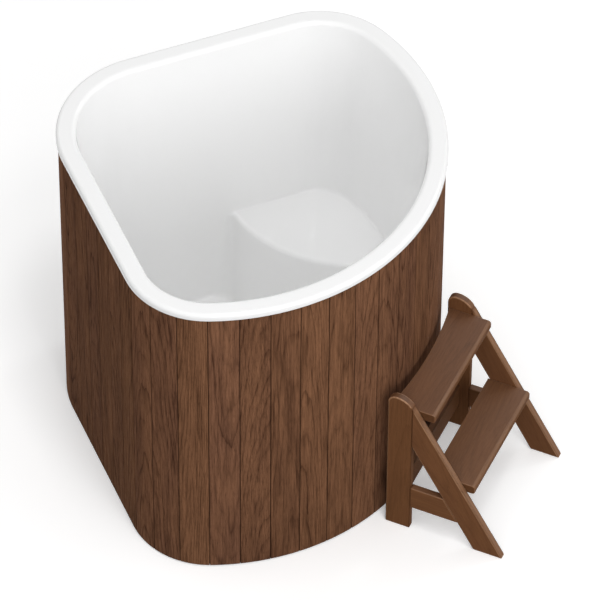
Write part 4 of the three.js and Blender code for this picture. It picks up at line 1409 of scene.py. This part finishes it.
class PLUNGE_TUB_OT_drain(Operator):
    """Make the floor drain with its grate, and the pipe that leaves it"""

    bl_idname = "plunge_tub.drain"
    bl_label = "Drain"

    def execute(self, context):
        tub = context.scene.plunge_tub
        sizes = tub.drain
        colours = tub.finishes
        bm = self.cup(sizes, tub.liner.floor_height + sizes.rest)
        place(bm, drain_matrix(tub))
        white = plastic_finish("white_plastic", colours.fitting, gloss=0.26)
        finish_piece(bm, "drain_fitting", white, "tub", "white_plastic", "drain_body")

        start = sizes.radius + sizes.socket_stop
        end = valve_start(tub) + sizes.hub - sizes.socket_stop
        bm = tube(sizes.pipe_radius - sizes.pipe_wall, sizes.pipe_radius, start, end, sizes.ease / 2)
        along_x(bm, sizes.pipe_height)
        place(bm, drain_matrix(tub))
        grey = plastic_finish("grey_plastic", colours.pipe, gloss=0.36)
        finish_piece(bm, "drain_tube", grey, "tub", "grey_plastic", "drain_pipe")
        return {"FINISHED"}

    def cup(self, sizes, seat):
        inside = sizes.radius - sizes.wall
        top = seat + sizes.flange_thickness
        edge = sizes.radius + sizes.flange
        bm = bmesh.new()
        turned(bm, bend([
            (0.0, sizes.ground),
            (sizes.radius, sizes.ground),
            (sizes.radius, seat),
            (edge, seat),
            (edge - sizes.flange_thickness / 2, top),
            (inside, top),
            (inside, sizes.ground + sizes.wall),
            (0.0, sizes.ground + sizes.wall),
        ], sizes.ease))
        fit = sizes.pipe_radius + sizes.fit
        start, end = sizes.radius - sizes.wall / 2, sizes.radius + sizes.socket
        socket = tube(fit, fit + sizes.socket_wall, start, end, sizes.ease)
        along_x(socket, sizes.pipe_height)
        merge(bm, socket)
        merge(bm, self.grate(sizes, inside + sizes.fit, top - sizes.rest))
        return bm

    @staticmethod
    def grate(sizes, radius, top):
        """A slotted disc, made by cutting the slots' edges and taking the faces out."""
        bm = bmesh.new()
        bmesh.ops.create_circle(bm, cap_ends=True, segments=TURN_STEPS, radius=radius)
        half = sizes.slot / 2
        slots = []
        for i in range(sizes.slot_count):
            across = (i - (sizes.slot_count - 1) / 2) * 2 * sizes.slot
            reach = math.sqrt((radius - sizes.fit) ** 2 - (abs(across) + half) ** 2) - sizes.slot
            slots.append((across, reach))
            for edge in (across - half, across + half):
                cut(bm, (0.0, edge, 0.0), (0.0, 1.0, 0.0))

        def strip_at(across):
            return [face for face in bm.faces if abs(face.calc_center_bounds().y - across) < half / 2]

        for across, reach in slots:
            for end in (-reach, reach):
                cut(bm, (end, 0.0, 0.0), (1.0, 0.0, 0.0), strip_at(across))
            opening = [face for face in strip_at(across) if abs(face.calc_center_bounds().x) < sizes.slot]
            corners = [vert for face in opening for vert in face.verts]
            bmesh.ops.delete(bm, geom=opening, context="FACES_ONLY")
            ease(bm, corners, sizes.slot * CORNER_SHARE, affect="VERTICES")
        push(bm, bm.faces[:], (0.0, 0.0, -sizes.flange_thickness))
        place(bm, Matrix.Translation((0.0, 0.0, top)))
        return bm


class PLUNGE_TUB_OT_valve(Operator):
    """Make the ball valve on the pipe, and the lever that turns its ball"""

    bl_idname = "plunge_tub.valve"
    bl_label = "Valve"

    def execute(self, context):
        tub = context.scene.plunge_tub
        sizes = tub.drain
        colours = tub.finishes
        start = Matrix.Translation((valve_start(tub), 0.0, sizes.pipe_height))
        brass = metal_finish("plated_brass", colours.brass, gloss=0.20, brush=(160, 160, 160))
        bm = self.body(sizes)
        place(bm, drain_matrix(tub) @ start)
        finish_piece(bm, "ball_valve", brass, "tub", "plated_brass", "valve_body")

        steel = metal_finish("lever_steel", colours.steel, gloss=0.26, brush=(900, 60, 900))
        bm = self.lever(sizes)
        middle = Matrix.Translation((sizes.valve_length / 2, 0.0, 0.0))
        place(bm, drain_matrix(tub) @ start @ middle)
        finish_piece(bm, "valve_handle", steel, "valve_lever", "lever_steel", "valve_lever")
        return {"FINISHED"}

    @staticmethod
    def body(sizes):
        fit = sizes.pipe_radius + sizes.fit
        hub = fit + sizes.socket_wall
        round_body = sizes.ball + sizes.housing
        middle = sizes.valve_length / 2
        chamber = sizes.ball + sizes.ball_gap
        opening = math.acos(sizes.bore / chamber)
        stop = sizes.hub - sizes.socket_stop + sizes.rest
        bm = bmesh.new()
        turned_ring(bm, [
            (fit, 0.0),
            (hub, 0.0),
            (hub, sizes.hub),
            (hub - sizes.waist, sizes.hub),
            (round_body, middle - sizes.bore / 2),
            (round_body, middle + sizes.bore / 2),
            (hub - sizes.waist, sizes.valve_length - sizes.hub),
            (hub, sizes.valve_length - sizes.hub),
            (hub, sizes.valve_length),
            (sizes.bore, sizes.valve_length),
            *arc_points((0.0, middle), chamber, opening, -opening, 2 * FILLET_RINGS),
            (sizes.bore, stop),
            (fit, stop),
        ], sizes.ease)
        along_x(bm, 0.0)
        foot, top = sizes.ball + sizes.housing / 2, round_body + sizes.bonnet_height
        bonnet = tube(sizes.stem + sizes.fit, sizes.bonnet, foot, top, sizes.ease)
        place(bonnet, Matrix.Translation((middle, 0.0, 0.0)))
        merge(bm, bonnet)
        return bm

    @staticmethod
    def lever(sizes):
        opening = math.acos(sizes.bore / sizes.ball)
        foot = sizes.ball + sizes.housing + sizes.bonnet_height + sizes.rest
        bm = bmesh.new()
        ball = arc_points((0.0, 0.0), sizes.ball, opening, -opening, 4 * FILLET_RINGS)
        turned(bm, ball, closed=True)
        place(bm, Matrix.Rotation(QUARTER, 4, "X"))
        stem = bmesh.new()
        low, high = sizes.bore + sizes.ease, foot + sizes.lever_thickness / 2
        turned(stem, bend([(0.0, low), (sizes.stem, low), (sizes.stem, high), (0.0, high)], sizes.ease))
        merge(bm, stem)
        plate = bmesh.new()
        half = sizes.lever_width / 2
        outline = arc_points((0.0, 0.0), half, 0.0, math.pi, CROWN_STEPS)
        outline += arc_points((0.0, half - sizes.lever), half, math.pi, 2 * math.pi, CROWN_STEPS)
        prism(plate, [(x, y, foot) for x, y in outline], (0.0, 0.0, sizes.lever_thickness))
        ease(plate, sharp_edges(plate), sizes.ease)
        merge(bm, plate)
        nut = bmesh.new()
        wide = sizes.stem * NUT_WIDTH
        bmesh.ops.create_cone(
            nut, cap_ends=True, segments=NUT_SIDES, radius1=wide, radius2=wide, depth=sizes.lever_thickness
        )
        ease(nut, sharp_edges(nut), sizes.ease / 2, FEW_SEGMENTS)
        place(nut, Matrix.Translation((0.0, 0.0, foot + sizes.lever_thickness)))
        merge(bm, nut)
        return bm


# Steps


class StepShape:
    """Outlines of the steps' pieces, as points of (forward, height)."""

    def __init__(self, sizes):
        self.sizes = sizes
        self.run = 1 / math.tan(sizes.slope)
        self.drop = sizes.stringer / math.cos(sizes.slope)
        self.front = sizes.post + sizes.rest
        self.half_tread = sizes.width / 2 - sizes.board - sizes.rest
        self.upper = sizes.seam - sizes.tread_drop
        self.lower = self.upper / 2

    def over(self, height):
        return self.sizes.post + (self.sizes.seam - height) * self.run

    def under(self, height):
        return self.sizes.post + (self.sizes.seam - self.drop - height) * self.run

    def post(self):
        sizes = self.sizes
        front = (sizes.post - sizes.crown) / math.sin(sizes.slope)
        top = sizes.seam + front * (1 - math.cos(sizes.slope))
        points = [(0.0, 0.0), (sizes.post, 0.0)]
        for radius, start, end in (
            (front, QUARTER - sizes.slope, QUARTER),
            (sizes.crown, QUARTER, math.pi),
        ):
            points += arc_points((sizes.crown, top - radius), radius, start, end, CROWN_STEPS)
        joined = points[:1]
        for point in points[1:]:
            if (Vector(point) - Vector(joined[-1])).length > SAME_POINT:
                joined.append(point)
        return joined

    def stringer(self):
        sizes = self.sizes
        fall = sizes.rest / self.run
        return [
            (self.front, sizes.seam - fall),
            (self.front, sizes.seam - self.drop - fall),
            (self.under(0.0), 0.0),
            (self.over(0.0), 0.0),
        ]

    def rail(self):
        sizes = self.sizes
        seam = sizes.rest / math.sin(sizes.slope)
        top = sizes.rail_foot + sizes.rail
        return [
            (self.front, sizes.rail_foot),
            (self.under(sizes.rail_foot) - seam, sizes.rail_foot),
            (self.under(top) - seam, top),
            (self.front, top),
        ]

    def tread(self, back, top):
        sizes = self.sizes
        front, under = back + sizes.tread_depth - sizes.nosing, top - sizes.tread
        points = [(back, under)]
        for height, start in ((under + sizes.nosing, -QUARTER), (top - sizes.nosing, 0.0)):
            points += arc_points((front, height), sizes.nosing, start, start + QUARTER, NOSING_STEPS)
        return points + [(back, top)]

    def stretcher(self):
        sizes = self.sizes
        back, front = sizes.setback, sizes.setback + sizes.board
        low, high = sizes.rail_foot, sizes.rail_foot + sizes.rail
        return [(back, low), (front, low), (front, high), (back, high)]


class PLUNGE_TUB_OT_steps(Operator):
    """Build the loose steps from eased planks with the grain along each plank"""

    bl_idname = "plunge_tub.steps"
    bl_label = "Steps"

    def execute(self, context):
        tub = context.scene.plunge_tub
        sizes = tub.steps
        shape = StepShape(sizes)
        colours = tub.finishes
        self.wood = wood_finish(
            "step_wood", colours.step_light, colours.step_dark, colours.step_edge_wear_and_highlight,
            edge_share=(0.30, 0.90), ring_width=0.0060, contrast=0.40,
            gloss=0.46, shine=0.01, polish=0.40,
        )
        self.chance = random.Random(STEP_SEED)
        self.where = Matrix.Translation((sizes.x, sizes.y, 0.0)) @ Matrix.Rotation(sizes.turn, 4, "Z")
        aslope = Vector((math.cos(sizes.slope), 0.0, -math.sin(sizes.slope)))
        middle = (sizes.width - sizes.board) / 2
        for side, sign in (("left", -1), ("right", 1)):
            low = sign * middle - sizes.board / 2
            span = (low, low + sizes.board)
            # Each piece's eased edges take a light colour that is partly wear and partly a painted
            # highlight
            for piece, node, points, along, wear in (
                ("post", "post", shape.post(), UP, EDGE_WEAR_AND_HIGHLIGHT),
                ("stringer", "stringer", shape.stringer(), aslope, EDGE_WEAR_AND_HIGHLIGHT),
                ("rail", "side_rail", shape.rail(), FORWARD, HIDDEN_WEAR_AND_HIGHLIGHT),
            ):
                bm = self.plank(points, span, sizes.ease)
                self.cut_bands(bm, sizes.post, span, sizes.ease)
                self.dress(bm, span, along, sizes.ease, wear)
                self.finish(bm, f"step_{piece}_{side}", f"{node}_{side}")
        span = (-shape.half_tread, shape.half_tread)
        back = shape.under(shape.lower) - sizes.overhang
        upper, lower = shape.tread(sizes.tread_back, shape.upper), shape.tread(back, shape.lower)
        # Treads and stretcher: their eased edges get the same mark, partly wear and partly a painted
        # highlight
        for piece, node, points, reach, wear in (
            ("tread_upper", "upper_tread", upper, sizes.tread_ease, TREAD_WEAR_AND_HIGHLIGHT),
            ("tread_lower", "lower_tread", lower, sizes.tread_ease, TREAD_WEAR_AND_HIGHLIGHT),
            ("stretcher", "rear_stretcher", shape.stretcher(), sizes.ease, HIDDEN_WEAR_AND_HIGHLIGHT),
        ):
            bm = self.plank(points, span, reach)
            if piece == "tread_upper":
                self.hollow_back(bm, sizes.tread_back + HOLLOW_BAND * reach, span, sizes.hollow)
            self.dress(bm, span, ACROSS, reach, wear)
            self.finish(bm, f"step_{piece}", node)
        return {"FINISHED"}

    @staticmethod
    def plank(points, span, reach):
        """A plank from its outline seen from the side, with eased edges."""
        bm = bmesh.new()
        low, high = span
        prism(bm, [(x, low, z) for x, z in points], (0.0, high - low, 0.0))
        ease(bm, sharp_edges(bm), reach)
        faces = [face for face in bm.faces if face.calc_area() > WORN_HIGHLIGHT_FACE]
        bmesh.ops.inset_individual(bm, faces=faces, thickness=reach, use_even_offset=False)
        return bm

    @staticmethod
    def cut_bands(bm, seam, span, reach):
        """Cuts a plank beside the seam and beside its edges, so that the edges' wear and painted highlight
        end there.
        """
        cut(bm, (seam + SEAM_CUT * reach, 0.0, 0.0), FORWARD)
        for beside in (span[0] + EDGE_BAND * reach, span[1] - EDGE_BAND * reach):
            cut(bm, (0.0, beside, 0.0), ACROSS)

    def dress(self, bm, span, along, reach, wear):
        """Draws a plank's grain and its edge marks: eased edges partly rubbed and partly a painted
        highlight, a painted lighter top on the stringers, and dark end grain.
        """
        seam = bpy.context.scene.plunge_tub.steps.post
        bm.normal_update()
        bm.verts.index_update()
        eased = {vert.index for edge in sharp_edges(bm, WORN_HIGHLIGHT_ANGLE) for vert in edge.verts}
        side = UP if along == ACROSS else ACROSS
        wide = along.cross(side)
        log = Log(self.chance, STEP_LOG)
        centre = sum((vert.co for vert in bm.verts), Vector()) / len(bm.verts)

        def place_of(spot):
            away = spot - centre
            return away.dot(wide), away.dot(side), away.dot(along)

        # Eased edges: partly wear, partly painted highlight; a stringer's upward face: painted light; end
        # grain: its own darker colour
        def edge_of(vert):
            beside = min(vert.co.y - span[0], span[1] - vert.co.y)
            if abs(vert.co.x - seam) < SEAM_BAND * reach:
                return 0.0
            if vert.index in eased and (along != UP or beside < EDGE_LIMIT * reach):
                return wear
            if abs(vert.normal.dot(along)) > END_FACING:
                return END_WEAR
            # Painted light: a stringer's upward face is made lighter, as if lit from above
            return SLOPE_TOP_HIGHLIGHT if along.z < 0 and vert.normal.z > TOP_FACING else 0.0

        draw_grain(bm, log, place_of, edge_of)

    def finish(self, bm, name, node):
        place(bm, self.where)
        finish_piece(bm, name, self.wood, "steps", "step_wood", node)

    @staticmethod
    def hollow_back(bm, back, span, deep):
        """Bends a plank's back edge into a shallow hollow."""
        half = span[1]
        radius = (half**2 + deep**2) / (2 * deep)
        for place_across in spread(*span, TREAD_STRIPS)[1:]:
            cut(bm, (0.0, place_across, 0.0), ACROSS)
        for vert in bm.verts:
            if vert.co.x < back:
                vert.co.x += deep - radius + math.sqrt(radius**2 - vert.co.y**2)


# Studio


class PLUNGE_TUB_OT_stage(Operator):
    """Set up the pale floor, the soft light and the camera"""

    bl_idname = "plunge_tub.stage"
    bl_label = "Stage"

    def execute(self, context):
        stage = context.scene.plunge_tub.stage
        context.scene.view_settings.view_transform = "Standard"
        context.scene.cycles.diffuse_bounces = DEEP_BOUNCES
        self.floor(context, stage)
        self.sky(context, stage)
        for name in ("top", "key", "side"):
            self.lamp(context, stage, name, stage.lit_side)
        self.lamp(context, stage, "edge", stage.edge_side)
        self.camera(context, stage)
        return {"FINISHED"}

    @staticmethod
    def seen(finish):
        """1 for the rays that show the background: camera, glossy and transmission."""
        rays = finish.add("ShaderNodeLightPath", {}).outputs
        shown = finish.math("MAXIMUM", rays["Is Camera Ray"], rays["Is Glossy Ray"])
        return finish.math("MAXIMUM", shown, rays["Is Transmission Ray"])

    def floor(self, context, stage):
        bm = bmesh.new()
        bmesh.ops.create_grid(bm, x_segments=1, y_segments=1, size=stage.floor_size / 2)
        place(bm, Matrix.Translation((0.0, 0.0, -stage.floor_drop)))
        mesh = bpy.data.meshes.new("studio_floor")
        bm.to_mesh(mesh)
        bm.free()
        floor = bpy.data.objects.new("studio_floor", mesh)
        context.scene.collection.objects.link(floor)
        paper = Finish("studio_paper")
        spot = paper.coordinates()
        grain = paper.noise(spot, PAPER_GRAIN)
        pale = paper.mix(grain, *PAPER_TONES)
        dull = [stage.floor_bounce] * 3
        seen = self.seen(paper)
        mesh.materials.append(paper.finish({
            "Base Color": paper.mix(seen, dull, pale),
            "Roughness": paper.range(grain, *NOISE, 0.86, 0.96),
            "Specular IOR Level": 0.0,
            "Emission Color": WHITE,
            "Emission Strength": paper.math("MULTIPLY", seen, stage.floor_glow),
        }))

    def sky(self, context, stage):
        world = context.scene.world or bpy.data.worlds.new("studio_sky")
        context.scene.world = world
        world.use_nodes = True
        sky = Nodes(world.node_tree)
        sky.tree.nodes.clear()
        toward = (*direction(stage.lit_side), 0.0)
        way = sky.add("ShaderNodeTexCoord", {}).outputs["Generated"]
        facing = sky.add("ShaderNodeVectorMath", {0: way, 1: toward}, operation="DOT_PRODUCT")
        walls = sky.sum((facing.outputs["Value"], stage.walls_slant), (1.0, stage.walls))
        walls = sky.math("MAXIMUM", walls, DIM_WALL)
        height = sky.height(way)
        above = sky.range(height, *CEILING_BAND, stage.cove, stage.ceiling)
        share = sky.range(height, *COVE_BAND)
        strength = sky.sum((above, share), (walls, sky.math("SUBTRACT", 1.0, share)))
        light = sky.add("ShaderNodeBackground", {"Color": WHITE, "Strength": strength}).outputs[0]
        white = sky.add("ShaderNodeBackground", {"Color": WHITE, "Strength": 1.0}).outputs[0]
        mixed = sky.add("ShaderNodeMixShader", {0: self.seen(sky), 1: light, 2: white}).outputs[0]
        sky.add("ShaderNodeOutputWorld", {"Surface": mixed})

    @staticmethod
    def lamp(context, stage, name, turn):
        """A square soft light in a direction, aimed at the tub."""
        lamp = bpy.data.lights.new(f"{name}_light", "AREA")
        lamp.energy = getattr(stage, f"{name}_power")
        lamp.size = getattr(stage, f"{name}_size")
        away = slanted(turn, getattr(stage, f"{name}_height"))
        light = bpy.data.objects.new(lamp.name, lamp)
        light.location = LIGHT_AIM + away * stage.light_distance
        light.rotation_euler = away.to_track_quat("Z", "Y").to_euler()
        context.scene.collection.objects.link(light)

    @staticmethod
    def camera(context, stage):
        turn, height, roll = stage.camera_azimuth, stage.camera_height, stage.camera_roll
        back = slanted(turn, height)
        level = Vector((-math.sin(turn), math.cos(turn), 0.0))
        upright = back.cross(level)
        right = level * math.cos(roll) + upright * math.sin(roll)
        up = upright * math.cos(roll) - level * math.sin(roll)
        camera_data = bpy.data.cameras.new("photo_camera")
        camera_data.lens = stage.lens
        camera_data.sensor_width = SENSOR
        camera_data.clip_end = VIEW_REACH
        camera = bpy.data.objects.new("photo_camera", camera_data)
        turned_to = Matrix((right, up, back)).transposed().to_4x4()
        camera.matrix_world = Matrix.Translation(stage.camera_place) @ turned_to
        context.scene.collection.objects.link(camera)
        context.scene.camera = camera


class PLUNGE_TUB_PT_panel(Panel):
    """Lists the tub's pieces in the sidebar"""

    bl_idname = "PLUNGE_TUB_PT_panel"
    bl_label = "Plunge Tub"
    bl_space_type = "VIEW_3D"
    bl_region_type = "UI"
    bl_category = "Plunge Tub"

    def draw(self, context):
        for operator in OPERATORS:
            self.layout.operator(operator.bl_idname)


OPERATORS = (
    PLUNGE_TUB_OT_boards,
    PLUNGE_TUB_OT_liner,
    PLUNGE_TUB_OT_frame,
    PLUNGE_TUB_OT_drain,
    PLUNGE_TUB_OT_valve,
    PLUNGE_TUB_OT_steps,
    PLUNGE_TUB_OT_stage,
)
GROUPS = (TubPlan, TubBoards, TubLiner, TubDrain, TubSteps, TubFinishes, TubStage, PlungeTub)
CLASSES = (*GROUPS, *OPERATORS, PLUNGE_TUB_PT_panel)


def register():
    for cls in CLASSES:
        bpy.utils.register_class(cls)
    bpy.types.Scene.plunge_tub = PointerProperty(type=PlungeTub)


def unregister():
    del bpy.types.Scene.plunge_tub
    for cls in reversed(CLASSES):
        bpy.utils.unregister_class(cls)


def main():
    register()
    bpy.ops.plunge_tub.boards()
    bpy.ops.plunge_tub.liner()
    bpy.ops.plunge_tub.frame()
    bpy.ops.plunge_tub.drain()
    bpy.ops.plunge_tub.valve()
    bpy.ops.plunge_tub.steps()
    bpy.ops.plunge_tub.stage()


if __name__ == "__main__":
    main()
